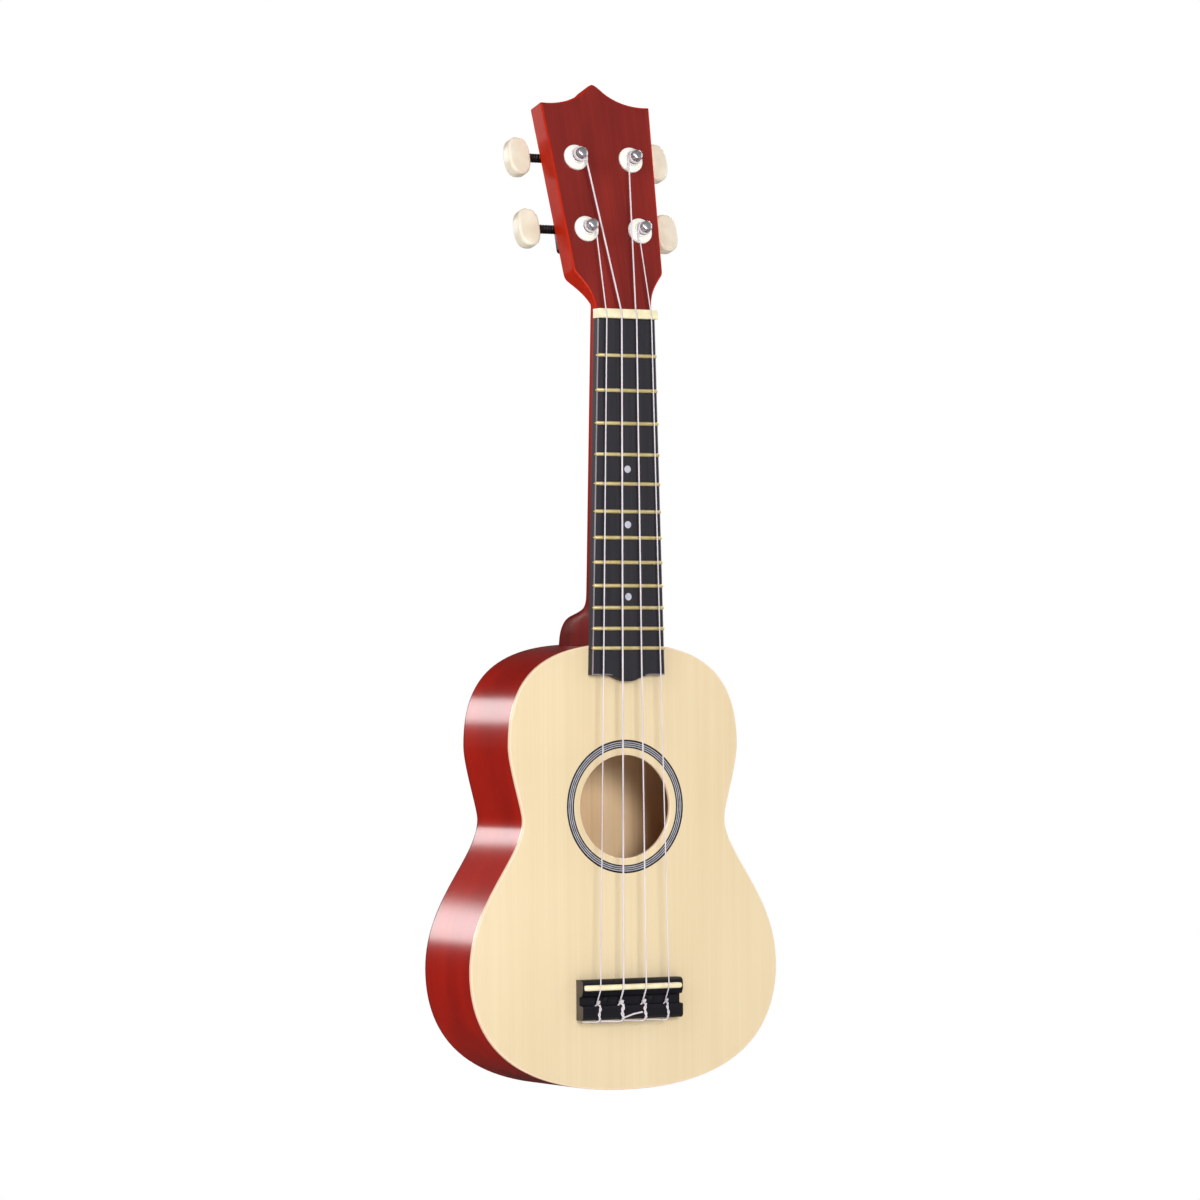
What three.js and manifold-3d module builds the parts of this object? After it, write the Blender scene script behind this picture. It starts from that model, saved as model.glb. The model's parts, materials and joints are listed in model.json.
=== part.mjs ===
// A soprano ukulele with geared tuners, standing upright as it hangs on a wall: +X to the right of
// someone facing its front, +Y to its back, +Z up the neck. The origin is the middle of the front edge
// of the nut, at the height of the soundboard's face. Millimetres.
import * as THREE from "three";
import { mergeVertices } from "three/addons/utils/BufferGeometryUtils.js";
import Module from "manifold-3d";

const wasm = await Module();
wasm.setup();

// Driving dimensions. A depth is a distance behind the soundboard's face (+Y).
const GLUE_LINE = 0.05;
const FIT = 0.3;

const SCALE_LENGTH = 347;
const SADDLE_SETBACK = 4.4; // the strings sound a little longer than the scale, to stay in tune
const FRETS = 12;

const BODY_DEPTH = 52;
const PLATE = 2; // soundboard and back
const RIB = 2; // bent side
const BODY_TOP = -170.8;
const BODY_BOTTOM = -405.8;
const UPPER_BOUT = { half: 69.1, z: -224.4 };
const WAIST = { half: 61.0, z: -263.5 };
const LOWER_BOUT = { half: 92.6, z: -341.7 };
const OUTLINE_STEPS = 9; // straight steps in each of the four curves of half the outline

const HOLE_Z = -256.9;
const HOLE_RADIUS = 27.2;
const ROSETTE = { inner: 30.9, outer: 35.2, deep: 0.8 };
const ROUND_STEPS = 20; // straight steps in half a turn of the sound hole and its ring

const LINING = { wide: 4, tall: 6 };
const BLOCK = { half: 22, neckLong: 26, tailLong: 16 };
const BRACE = { wide: 6, tall: 9, endTall: 3, endLong: 16 };

const BOARD = { thick: 4.75, halfAtNut: 17.3, halfAtEnd: 22, end: -187.6, tongue: 3.4 };
const FRET = { crownWide: 1.9, crownTall: 0.95, tangWide: 0.5, tangDeep: 1.4 };
const NUT = { half: 17.6, thick: 5, top: -7.75 };

const HEAD_TILT = THREE.MathUtils.degToRad(14.94);
const HEAD_FACE_AT_NUT = -3.44;
const HEAD_THICK = 12;
const HEAD_TIP = 131.9;
const HEAD_CORNER = { half: 33.1, up: 120.3 };
const HEAD_SHOULDER = { half: 26.9, up: 27 };
const THROAT_HALF = 17;

const BRIDGE = { half: 30.3, top: -347.2, tall: 7.2, long: 21.1 };
const SADDLE = { half: 29.4, thick: 3, top: -8.6, floor: -3.5 };
const TIE_BLOCK = { front: 13.8, holeDeep: -4.4, holeRadius: 0.85 };

// Strings from the left: re-entrant g, then c, e and a.
const STRINGS = [
  { name: "g", radius: 0.35, tuner: { side: -1, across: 16.3, up: 49.5 } },
  { name: "c", radius: 0.47, tuner: { side: -1, across: 16.7, up: 89.5 } },
  { name: "e", radius: 0.41, tuner: { side: 1, across: 16.7, up: 89.5 } },
  { name: "a", radius: 0.33, tuner: { side: 1, across: 16.3, up: 49.5 } },
];
const STRING_SPACING = { nut: 9.04, saddle: 13.76 };
const STRING_AT = { nut: -7.54, saddle: -9.11 }; // depth of each string's centre line
const WINDING = { turns: 2.3, stepsPerTurn: 10, above: 4.7, gap: 0.15 };

// Tuner, in its own frame: the post along Y with its tip to the front, the worm across it along X.
const POST = { radius: 2.9, tip: 9.8, neck: 1.5, shoulder: 15.5, end: 21, holeAt: 6.8, holeRadius: 0.8 };
const BUSHING = { flange: 7, collar: 4.1, collarTop: 3.6, sleeve: 4, sleeveDeep: 7, bore: 3.15 };
const GEAR = { teeth: 12, module: 0.6, addendum: 0.5, dedendum: 0.7, wide: 3.4, bore: 1.75 };
const WORM = { pitchRadius: 1.9, turns: 3.5, around: 12, depth: 17.5, journal: 1.1, stem: 2.4 };
const HOUSING = { half: 6.5, below: 6.3, above: 9.4, back: 22.5, wall: 1.3, lug: 4.6 };
const BUTTON = { half: 6.4, halfTall: 10.3, thick: 8, edge: 1.6, out: 42 };

// Finishes.
function finish(color, roughness, metalness = 0) {
  return new THREE.MeshStandardMaterial({ color, roughness, metalness });
}
const SPRUCE = finish(0xe8d4ac, 0.4);
const RED_GLOSS = finish(0x9c1f10, 0.15);
const BARE_WOOD = finish(0xc9a377, 0.8);
const EBONY = finish(0x37343a, 0.5);
const RING_INLAY = finish(0x5a5458, 0.5);
const BONE = finish(0xf0e6c8, 0.35);
const CREAM_PLASTIC = finish(0xefe6d2, 0.3);
const BRASS = finish(0xc9a955, 0.3, 1);
const CHROME = finish(0xd0d0d4, 0.15, 1);
const BLACK_PLASTIC = finish(0x121214, 0.45);

const NYLON = finish(0xf2f0ee, 0.25);

// Booleans.
function toSolid(geometry) {
  const bare = geometry.clone();
  bare.deleteAttribute("normal");
  bare.deleteAttribute("uv");
  const merged = mergeVertices(bare);
  return new wasm.Manifold(
    new wasm.Mesh({
      numProp: 3,
      vertProperties: merged.attributes.position.array,
      triVerts: new Uint32Array(merged.index.array),
    }),
  );
}

function toGeometry(solid) {
  const { vertProperties, triVerts } = solid.getMesh();
  const geometry = new THREE.BufferGeometry();
  geometry.setAttribute("position", new THREE.BufferAttribute(vertProperties, 3));
  geometry.setIndex(new THREE.BufferAttribute(triVerts, 1));
  geometry.computeVertexNormals();
  return geometry;
}

function cut(geometry, tools) {
  return toGeometry(tools.reduce((rest, tool) => rest.subtract(toSolid(tool)), toSolid(geometry)));
}

function join(geometries) {
  return toGeometry(geometries.map(toSolid).reduce((whole, piece) => whole.add(piece)));
}

// Shape builders. A flat shape is drawn in X and Z and given its thickness in depth.
function slab(shape, front, back, options = {}) {
  const geometry = new THREE.ExtrudeGeometry(shape, { depth: back - front, bevelEnabled: false, ...options });
  return geometry.rotateX(Math.PI / 2).translate(0, back, 0);
}

// A profile drawn in depth (first number) and height (second), run along X from left to right.
function bar(profile, left, right) {
  const shape = new THREE.Shape(profile.map(([depth, height]) => new THREE.Vector2(depth, height)));
  const geometry = new THREE.ExtrudeGeometry(shape, { depth: right - left, bevelEnabled: false });
  const toPart = new THREE.Matrix4().makeBasis(
    new THREE.Vector3(0, 1, 0),
    new THREE.Vector3(0, 0, 1),
    new THREE.Vector3(1, 0, 0),
  );
  return geometry.applyMatrix4(toPart).translate(left, 0, 0);
}

function box(low, high) {
  const size = high.map((value, axis) => value - low[axis]);
  const middle = high.map((value, axis) => (value + low[axis]) / 2);
  return new THREE.BoxGeometry(...size).translate(...middle);
}

// A closed surface over a grid of points: the last column meets the first, and the first and last rows
// are each drawn together to one point.
function gridSolid(rows, columns, point) {
  const positions = [];
  const addTriangle = (...corners) => {
    const apart = corners.every((corner, i) => corner.distanceTo(corners[(i + 1) % 3]) > 1e-4);
    if (apart) corners.forEach((corner) => positions.push(...corner));
  };
  for (let row = 0; row < rows; row++) {
    for (let column = 0; column < columns; column++) {
      const a = point(row, column);
      const b = point(row, column + 1);
      const c = point(row + 1, column + 1);
      const d = point(row + 1, column);
      addTriangle(a, b, c);
      addTriangle(a, c, d);
    }
  }
  const geometry = new THREE.BufferGeometry();
  geometry.setAttribute("position", new THREE.Float32BufferAttribute(positions, 3));
  return mergeVertices(geometry);
}

function rings(shape, radius) {
  shape.holes.push(new THREE.Path().absarc(0, HOLE_Z, radius, 0, 2 * Math.PI));
  return shape;
}

function mesh(name, geometry, material) {
  const made = new THREE.Mesh(geometry, material);
  made.name = name;
  return made;
}

// The body's outline. Half of it runs from the middle of the top round the right side to the bottom.
function halfOutline() {
  const path = new THREE.Path();
  path.moveTo(0, BODY_TOP);
  path.bezierCurveTo(48, BODY_TOP, UPPER_BOUT.half, UPPER_BOUT.z + 37.4, UPPER_BOUT.half, UPPER_BOUT.z);
  path.bezierCurveTo(UPPER_BOUT.half, UPPER_BOUT.z - 11.3, WAIST.half, WAIST.z + 5.9, WAIST.half, WAIST.z);
  path.bezierCurveTo(
    WAIST.half,
    WAIST.z - 20.1,
    LOWER_BOUT.half,
    LOWER_BOUT.z + 36.4,
    LOWER_BOUT.half,
    LOWER_BOUT.z,
  );
  path.bezierCurveTo(LOWER_BOUT.half, LOWER_BOUT.z - 39.2, 64.3, BODY_BOTTOM, 0, BODY_BOTTOM);
  return path.getPoints(OUTLINE_STEPS);
}

const OUTLINE = halfOutline();

// Half the outline moved inwards by a distance, square to itself.
function inset(distance) {
  return OUTLINE.map((place, i) => {
    const before = OUTLINE[Math.max(i - 1, 0)].clone();
    const after = OUTLINE[Math.min(i + 1, OUTLINE.length - 1)].clone();
    if (i === 0) before.set(-after.x, after.y);
    if (i === OUTLINE.length - 1) after.set(-before.x, before.y);
    const along = after.sub(before).normalize();
    return new THREE.Vector2(place.x + distance * along.y, place.y - distance * along.x);
  });
}

function mirrored(half) {
  const left = half
    .filter((place) => place.x > 0)
    .map((place) => new THREE.Vector2(-place.x, place.y))
    .reverse();
  return new THREE.Shape([...half, ...left]);
}

// A strip that follows one side of the body, kept to where it is further than `from` off the centre line.
function sideStrip(side, outerInset, innerInset, from) {
  const kept = (place) => place.x >= from;
  const clamp = (place) => new THREE.Vector2(side * Math.max(place.x, GLUE_LINE), place.y);
  const outer = inset(outerInset).filter(kept).map(clamp);
  const inner = inset(innerInset).filter(kept).map(clamp).reverse();
  return new THREE.Shape([...outer, ...inner]);
}

function halfWidthAt(z) {
  const next = OUTLINE.findIndex((place) => place.y < z);
  const [above, below] = [OUTLINE[next - 1], OUTLINE[next]];
  return above.x + ((below.x - above.x) * (above.y - z)) / (above.y - below.y);
}

function soundboard() {
  const plate = slab(rings(mirrored(OUTLINE), HOLE_RADIUS), 0, PLATE, { curveSegments: ROUND_STEPS });
  const channel = new THREE.Shape().absarc(0, HOLE_Z, ROSETTE.outer + FIT, 0, 2 * Math.PI);
  const groove = slab(rings(channel, ROSETTE.inner - FIT), -1, ROSETTE.deep + GLUE_LINE, {
    curveSegments: ROUND_STEPS,
  });
  return cut(plate, [groove]);
}

function rosette() {
  const ring = new THREE.Shape().absarc(0, HOLE_Z, ROSETTE.outer, 0, 2 * Math.PI);
  return slab(rings(ring, ROSETTE.inner), 0, ROSETTE.deep, { curveSegments: ROUND_STEPS });
}

// A solid block glued across the end of the body, shaped to the inside of the sides.
function endBlock(top, long) {
  const along = inset(RIB + FIT);
  const ordered = top ? along : along.reverse();
  const beyond = ordered.findIndex((place) => place.x > BLOCK.half);
  const [last, next] = [ordered[beyond - 1], ordered[beyond]];
  const corner = last.clone().lerp(next, (BLOCK.half - last.x) / (next.x - last.x));
  const inner = new THREE.Vector2(BLOCK.half, ordered[0].y + (top ? -long : long));
  return slab(mirrored([...ordered.slice(0, beyond), corner, inner]), innerFront(), innerBack());
}

function innerFront() {
  return PLATE + GLUE_LINE;
}

function innerBack() {
  return BODY_DEPTH - PLATE - GLUE_LINE;
}

// A brace across a plate, thinned towards its ends. `facing` is +1 on the soundboard, -1 on the back.
function brace(z, facing) {
  const foot = facing > 0 ? innerFront() : innerBack();
  const room = Math.min(halfWidthAt(z - BRACE.wide), halfWidthAt(z + BRACE.wide));
  const half = room - RIB - LINING.wide - 3 * FIT;
  const outline = [
    [-half, 0],
    [half, 0],
    [half, BRACE.endTall],
    [half - BRACE.endLong, BRACE.tall],
    [-half + BRACE.endLong, BRACE.tall],
    [-half, BRACE.endTall],
  ];
  const shape = new THREE.Shape(outline.map(([x, tall]) => new THREE.Vector2(x, foot + facing * tall)));
  const geometry = new THREE.ExtrudeGeometry(shape, { depth: BRACE.wide, bevelEnabled: false });
  return geometry.translate(0, 0, z - BRACE.wide / 2);
}

function body() {
  const group = new THREE.Group();
  const [front, back] = [innerFront(), innerBack()];
  group.add(mesh("soundboard", soundboard(), SPRUCE));
  group.add(mesh("rosette", rosette(), RING_INLAY));
  group.add(mesh("back_plate", slab(mirrored(OUTLINE), BODY_DEPTH - PLATE, BODY_DEPTH), RED_GLOSS));
  for (const [side, name] of [
    [-1, "bass"],
    [1, "treble"],
  ]) {
    group.add(mesh(`side_${name}`, slab(sideStrip(side, 0, RIB, 0), front, back), RED_GLOSS));
    const strip = sideStrip(side, RIB + FIT, RIB + FIT + LINING.wide, BLOCK.half + 2);
    group.add(mesh(`lining_front_${name}`, slab(strip, front, front + LINING.tall), BARE_WOOD));
    group.add(mesh(`lining_back_${name}`, slab(strip, back - LINING.tall, back), BARE_WOOD));
  }
  group.add(mesh("neck_block", endBlock(true, BLOCK.neckLong), BARE_WOOD));
  group.add(mesh("tail_block", endBlock(false, BLOCK.tailLong), BARE_WOOD));
  group.add(mesh("brace_front_upper", brace(HOLE_Z + 43, 1), BARE_WOOD));
  group.add(mesh("brace_front_lower", brace(HOLE_Z - 41, 1), BARE_WOOD));
  group.add(mesh("brace_back_upper", brace(UPPER_BOUT.z, -1), BARE_WOOD));
  group.add(mesh("brace_back_lower", brace(LOWER_BOUT.z, -1), BARE_WOOD));
  return group;
}

// Neck, heel and head, in one piece of wood.
function boardHalf(z) {
  return BOARD.halfAtNut + ((BOARD.halfAtEnd - BOARD.halfAtNut) * z) / BOARD.end;
}

// Depth of the neck's back at a height up the neck: a slim shaft that drops to the heel.
const NECK_BACK = [
  [-176, 49.8],
  [-171, 49.6],
  [-167, 48.8],
  [-163, 47.2],
  [-160, 45.2],
  [-158, 42.8],
  [-156.5, 39.4],
  [-155.2, 34.2],
  [-153.8, 28.0],
  [-152.2, 22.6],
  [-150, 19.4],
  [-147, 17.6],
  [-142, 17.0],
  [-100, 16.5],
  [-50, 15.9],
  [0, 15.2],
  [8, 14.7],
  [16, 14.8],
  [24, 16.0],
  [32, 17.4],
];
const NECK_AROUND = 16;
// Exponent of the section's superellipse: 2 is round, more is squarer. The shaft's comes first, then the heel's.
const NECK_SQUARENESS = [2.6, 3.4];
// Share of the width a section as deep as the body would lose from its front to its back, in the same order.
const NECK_TAPER = [0.4, 0.04];
const HEEL_FROM = 18; // the section starts to change from shaft to heel where it is this deep
const HEEL_BY = 48; // and is all heel where it is this deep

function neckSection(z, back, turn) {
  const inHead = z > NUT.thick;
  const front = inHead ? Math.max(0, headFaceAt(z) + 1) : 0;
  const throatHalf = Math.min(THROAT_HALF + 0.02 * (z - NUT.thick) ** 2 - 0.2, HEAD_SHOULDER.half - 1);
  const half = inHead ? throatHalf : boardHalf(z) - FIT;
  const heel = THREE.MathUtils.clamp((back - HEEL_FROM) / (HEEL_BY - HEEL_FROM), 0, 1);
  const angle = Math.PI * turn;
  const power = 2 / THREE.MathUtils.lerp(...NECK_SQUARENESS, heel);
  const taper = THREE.MathUtils.lerp(...NECK_TAPER, heel);
  const deep = front + (back - front) * Math.abs(Math.sin(angle)) ** power;
  const across = Math.sign(Math.cos(angle)) * Math.abs(Math.cos(angle)) ** power;
  return new THREE.Vector3(across * half * (1 - (taper * deep) / BODY_DEPTH), deep, z);
}

function headFaceAt(z) {
  return HEAD_FACE_AT_NUT + z * Math.tan(HEAD_TILT);
}

function neckShaft() {
  const last = NECK_BACK.length - 1;
  return gridSolid(last + 2, NECK_AROUND + 1, (row, column) => {
    const [z, back] = NECK_BACK[Math.min(Math.max(row - 1, 0), last)];
    if (row === 0 || row === last + 2) return new THREE.Vector3(0, back / 2, z);
    return neckSection(z, back, (column % (NECK_AROUND + 1)) / NECK_AROUND);
  });
}

// The head's outline in its own plane, X across and Y up from the nut.
function headShape() {
  const half = new THREE.Path();
  half.moveTo(0, -1);
  half.lineTo(THROAT_HALF, -1);
  half.lineTo(THROAT_HALF, 5);
  half.bezierCurveTo(17.4, 14.5, 21.3, 19, HEAD_SHOULDER.half - 0.9, HEAD_SHOULDER.up - 2.2);
  half.quadraticCurveTo(
    HEAD_SHOULDER.half,
    HEAD_SHOULDER.up - 0.9,
    HEAD_SHOULDER.half + 0.1,
    HEAD_SHOULDER.up + 0.9,
  );
  half.lineTo(HEAD_CORNER.half, HEAD_CORNER.up - 0.6);
  half.lineTo(HEAD_CORNER.half - 0.7, HEAD_CORNER.up);
  half.bezierCurveTo(22.5, HEAD_CORNER.up - 0.7, 13, HEAD_CORNER.up + 2.1, 7, HEAD_CORNER.up + 6.7);
  half.bezierCurveTo(4.6, HEAD_CORNER.up + 8.6, 2.4, HEAD_TIP - 0.4, 0, HEAD_TIP);
  return mirrored(half.getPoints(6));
}

const HEAD_FRAME = new THREE.Matrix4()
  .makeRotationX(-HEAD_TILT)
  .setPosition(0, HEAD_FACE_AT_NUT, 0);

// A point in the part's frame from its place across, up and above the head's face.
function onHead(across, up, above) {
  return new THREE.Vector3(across, -above, up).applyMatrix4(HEAD_FRAME);
}

function neck() {
  const square = slab(headShape(), 0, HEAD_THICK);
  const throat = bar(
    [
      [2, -9],
      [2, 4],
      [HEAD_THICK + 1, HEAD_SHOULDER.up],
      [HEAD_THICK + 1, -9],
    ],
    -40,
    40,
  );
  const blank = cut(square, [throat]).applyMatrix4(HEAD_FRAME);
  const whole = join([neckShaft(), blank]);
  const seat = box([-40, -20, -20], [40, 0, NUT.thick + 2 * GLUE_LINE]);
  const bodyRoom = slab(mirrored(inset(-FIT / 2)), -1, BODY_DEPTH + 5);
  const holes = STRINGS.map(({ tuner }) =>
    new THREE.CylinderGeometry(BUSHING.sleeve + FIT, BUSHING.sleeve + FIT, 3 * HEAD_THICK, 20)
      .translate(tuner.side * tuner.across, 0, tuner.up)
      .applyMatrix4(HEAD_FRAME),
  );
  return cut(whole, [seat, bodyRoom, ...holes]);
}

function fretZ(number) {
  return -SCALE_LENGTH * (1 - 2 ** (-number / 12));
}

function fretboard() {
  const half = new THREE.Path();
  half.moveTo(0, -GLUE_LINE);
  half.lineTo(boardHalf(0), -GLUE_LINE);
  half.lineTo(BOARD.halfAtEnd, BOARD.end);
  half.lineTo(14, BOARD.end);
  half.bezierCurveTo(8, BOARD.end, 6, BOARD.end - BOARD.tongue, 0, BOARD.end - BOARD.tongue);
  const board = slab(mirrored(half.getPoints(8)), -BOARD.thick - GLUE_LINE, -GLUE_LINE);
  const slotHalf = FRET.tangWide / 2 + FIT / 2;
  const slots = Array.from({ length: FRETS }, (_, i) => {
    const z = fretZ(i + 1);
    return box(
      [-40, -BOARD.thick - 1, z - slotHalf],
      [40, -BOARD.thick - GLUE_LINE + FRET.tangDeep + FIT, z + slotHalf],
    );
  });
  return cut(board, slots);
}

// A fret: a round crown that stands on the fretboard and a tang that goes down into its slot.
function fret(number) {
  const z = fretZ(number);
  const top = -BOARD.thick - GLUE_LINE;
  const crownHalf = FRET.crownWide / 2;
  const crown = Array.from({ length: 7 }, (_, i) => {
    const angle = (Math.PI * i) / 6;
    return [top - FRET.crownTall * Math.sin(angle), z - crownHalf * Math.cos(angle)];
  });
  const tang = [
    [top, z + FRET.tangWide / 2],
    [top + FRET.tangDeep, z + FRET.tangWide / 2],
    [top + FRET.tangDeep, z - FRET.tangWide / 2],
    [top, z - FRET.tangWide / 2],
  ];
  const half = boardHalf(z) + 0.1;
  return bar([...crown, ...tang], -half, half);
}

function stringAcross(index, spacing) {
  return (index - (STRINGS.length - 1) / 2) * spacing;
}

function nut() {
  const profile = [
    [-GLUE_LINE, GLUE_LINE],
    [NUT.top + 0.5, GLUE_LINE],
    [NUT.top, 0.6],
    [NUT.top, 1.8],
    [NUT.top + 1.1, NUT.thick],
    [-GLUE_LINE, NUT.thick],
  ];
  const slots = STRINGS.map(({ radius }, i) => {
    const x = stringAcross(i, STRING_SPACING.nut);
    const floor = STRING_AT.nut + radius + GLUE_LINE;
    const groove = [
      [-12, -1],
      [floor, -1],
      [floor, 1.2],
      [floor + 1.3, 6.2],
      [-12, 6.2],
    ];
    return bar(groove, x - radius - 0.1, x + radius + 0.1);
  });
  return cut(bar(profile, -NUT.half, NUT.half), slots);
}

function neckAssembly() {
  const group = new THREE.Group();
  group.add(mesh("neck", neck(), RED_GLOSS));
  group.add(mesh("fretboard", fretboard(), EBONY));
  group.add(mesh("nut", nut(), BONE));
  for (let number = 1; number <= FRETS; number++) {
    group.add(mesh(`fret_${String(number).padStart(2, "0")}`, fret(number), BRASS));
  }
  return group;
}

// Bridge, drawn with its distances down from its top edge: rail, saddle slot, rail, channel, tie block.
const SADDLE_Z = -SCALE_LENGTH - SADDLE_SETBACK;

function bridge() {
  const tall = -BRIDGE.tall;
  const slotFront = BRIDGE.top - SADDLE_Z - SADDLE.thick / 2 - FIT / 2;
  const slotBack = slotFront + SADDLE.thick + FIT;
  const steps = [
    [-GLUE_LINE, 0],
    [tall + 2, 0],
    [tall + 0.3, 1],
    [tall, 2],
    [tall, slotBack + 0.3],
    [tall + 1.2, slotBack + 2.6],
    [-3.4, slotBack + 3.2],
    [-3.4, TIE_BLOCK.front - 0.4],
    [tall + 0.3, TIE_BLOCK.front],
    [tall, TIE_BLOCK.front + 0.6],
    [tall, BRIDGE.long - 1.2],
    [tall + 1.4, BRIDGE.long],
    [-GLUE_LINE, BRIDGE.long],
  ];
  const profile = steps.map(([depth, down]) => [depth, BRIDGE.top - down]);
  const slotEnd = SADDLE.half + FIT / 2;
  const slot = box(
    [-slotEnd, -20, BRIDGE.top - slotBack],
    [slotEnd, SADDLE.floor, BRIDGE.top - slotFront],
  );
  const tieHoles = STRINGS.map((_, i) =>
    new THREE.CylinderGeometry(TIE_BLOCK.holeRadius, TIE_BLOCK.holeRadius, 12, 10)
      .rotateX(Math.PI / 2)
      .translate(
        stringAcross(i, STRING_SPACING.saddle),
        TIE_BLOCK.holeDeep,
        BRIDGE.top - TIE_BLOCK.front - 5,
      ),
  );
  return cut(bar(profile, -BRIDGE.half, BRIDGE.half), [slot, ...tieHoles]);
}

function saddle() {
  const half = SADDLE.thick / 2;
  const bottom = SADDLE.floor - GLUE_LINE;
  const profile = [
    [bottom, SADDLE_Z + half],
    [SADDLE.top + 0.9, SADDLE_Z + half],
    [SADDLE.top + 0.2, SADDLE_Z + 0.8],
    [SADDLE.top, SADDLE_Z],
    [SADDLE.top + 0.2, SADDLE_Z - 0.8],
    [SADDLE.top + 0.9, SADDLE_Z - half],
    [bottom, SADDLE_Z - half],
  ];
  return bar(profile, -SADDLE.half, SADDLE.half);
}

// A curve through hand-chosen points, straight between them, with one step per point.
class PointPath extends THREE.Curve {
  constructor(points) {
    super();
    this.points = points;
  }
  getPoint(t, target = new THREE.Vector3()) {
    const steps = this.points.length - 1;
    const place = THREE.MathUtils.clamp(t, 0, 1) * steps;
    const step = Math.min(Math.floor(place), steps - 1);
    return target.lerpVectors(this.points[step], this.points[step + 1], place - step);
  }
  getPointAt(t, target) {
    return this.getPoint(t, target);
  }
  getTangentAt(t, target) {
    return this.getTangent(t, target);
  }
}

function cord(points, radius) {
  const section = Array.from({ length: 8 }, (_, i) => {
    const angle = (2 * Math.PI * i) / 8;
    return new THREE.Vector2(radius * Math.cos(angle), radius * Math.sin(angle));
  });
  return new THREE.ExtrudeGeometry(new THREE.Shape(section), {
    steps: points.length - 1,
    extrudePath: new PointPath(points),
  });
}

// A string's turns round its post, from the low turn where it arrives to the high one at the hole.
function windingPoints({ side, across, up }, radius, nutAcross) {
  const centre = side * across;
  const turnRadius = POST.radius + WINDING.gap + radius;
  const arrival = Math.atan2(across - turnRadius - Math.abs(nutAcross), up);
  const steps = Math.round(WINDING.turns * WINDING.stepsPerTurn);
  return Array.from({ length: steps + 1 }, (_, i) => {
    const angle = arrival + (2 * Math.PI * i) / WINDING.stepsPerTurn;
    const above = WINDING.above + ((2 * radius + GLUE_LINE) * i) / WINDING.stepsPerTurn;
    return onHead(centre - side * turnRadius * Math.cos(angle), up + turnRadius * Math.sin(angle), above);
  });
}

// A string: looped over the tie block, through its hole, over saddle and nut, and round its post.
function stringPoints(index) {
  const { radius, tuner } = STRINGS[index];
  const atSaddle = stringAcross(index, STRING_SPACING.saddle);
  const atNut = stringAcross(index, STRING_SPACING.nut);
  const blockFront = BRIDGE.top - TIE_BLOCK.front;
  const blockBack = BRIDGE.top - BRIDGE.long;
  const overBlock = -BRIDGE.tall - radius - 0.2;
  const hole = TIE_BLOCK.holeDeep;
  const atBridge = [
    [overBlock, blockFront - 0.9],
    [overBlock, blockBack + 1.3],
    [overBlock + 0.3, blockBack + 0.3],
    [overBlock + 1.0, blockBack - 0.5],
    [overBlock + 1.9, blockBack - 0.9],
    [hole - 0.9, blockBack - 0.9],
    [hole - 0.3, blockBack - 0.6],
    [hole, blockBack],
    [hole, blockFront],
    [hole - 0.2, blockFront + 0.8],
    [STRING_AT.saddle + 0.6, SADDLE_Z - 1.5],
    [STRING_AT.saddle + 0.1, SADDLE_Z - 0.5],
    [STRING_AT.saddle, SADDLE_Z + 0.5],
  ].map(([depth, z]) => new THREE.Vector3(atSaddle, depth, z));
  const atNutEdge = [
    new THREE.Vector3(atNut, STRING_AT.nut, 0.6),
    new THREE.Vector3(atNut, STRING_AT.nut + 0.05, 1.4),
    new THREE.Vector3(atNut, STRING_AT.nut + 1.05, NUT.thick + 0.3),
  ];
  return [...atBridge, ...atNutEdge, ...windingPoints(tuner, radius, atNut)];
}

function bridgeAssembly() {
  const group = new THREE.Group();
  group.add(mesh("bridge", bridge(), EBONY));
  group.add(mesh("saddle", saddle(), BONE));
  STRINGS.forEach(({ name, radius }, i) => {
    group.add(mesh(`string_${name}`, cord(stringPoints(i), radius), NYLON));
  });
  return group;
}

// Tuner pieces. Lathe profiles are [radius, depth] and turn about the post's axis.
function turned(profile, segments) {
  return new THREE.LatheGeometry(
    profile.map(([radius, depth]) => new THREE.Vector2(radius, depth)),
    segments,
  );
}

function bushing() {
  const profile = [
    [BUSHING.bore, -BUSHING.collarTop],
    [BUSHING.collar - 0.3, -BUSHING.collarTop],
    [BUSHING.collar, -BUSHING.collarTop + 0.4],
    [BUSHING.collar + 0.2, -2.4],
    [BUSHING.flange - 1, -1.8],
    [BUSHING.flange, -1],
    [BUSHING.flange, -GLUE_LINE],
    [BUSHING.sleeve, -GLUE_LINE],
    [BUSHING.sleeve, BUSHING.sleeveDeep],
    [BUSHING.bore, BUSHING.sleeveDeep],
    [BUSHING.bore, -BUSHING.collarTop],
  ];
  return turned(profile, 18);
}

function post() {
  const profile = [
    [0, -POST.tip],
    [POST.radius * 0.6, -POST.tip + 0.25],
    [POST.radius, -POST.tip + 1.1],
    [POST.radius, POST.shoulder - 3],
    [POST.neck + 0.6, POST.shoulder],
    [POST.neck, POST.shoulder],
    [POST.neck, POST.end],
    [0, POST.end],
  ];
  const hole = new THREE.CylinderGeometry(POST.holeRadius, POST.holeRadius, 10, 10)
    .rotateX(Math.PI / 2)
    .translate(0, -POST.holeAt, 0);
  return cut(turned(profile, 18), [hole]);
}

// The gear's teeth lean along the worm's thread. A gap between two teeth faces the worm at rest.
const GEAR_PITCH_RADIUS = (GEAR.module * GEAR.teeth) / 2;
const TUNER_CENTRES = GEAR_PITCH_RADIUS + WORM.pitchRadius;
const WORM_PITCH = Math.PI * GEAR.module;

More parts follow.
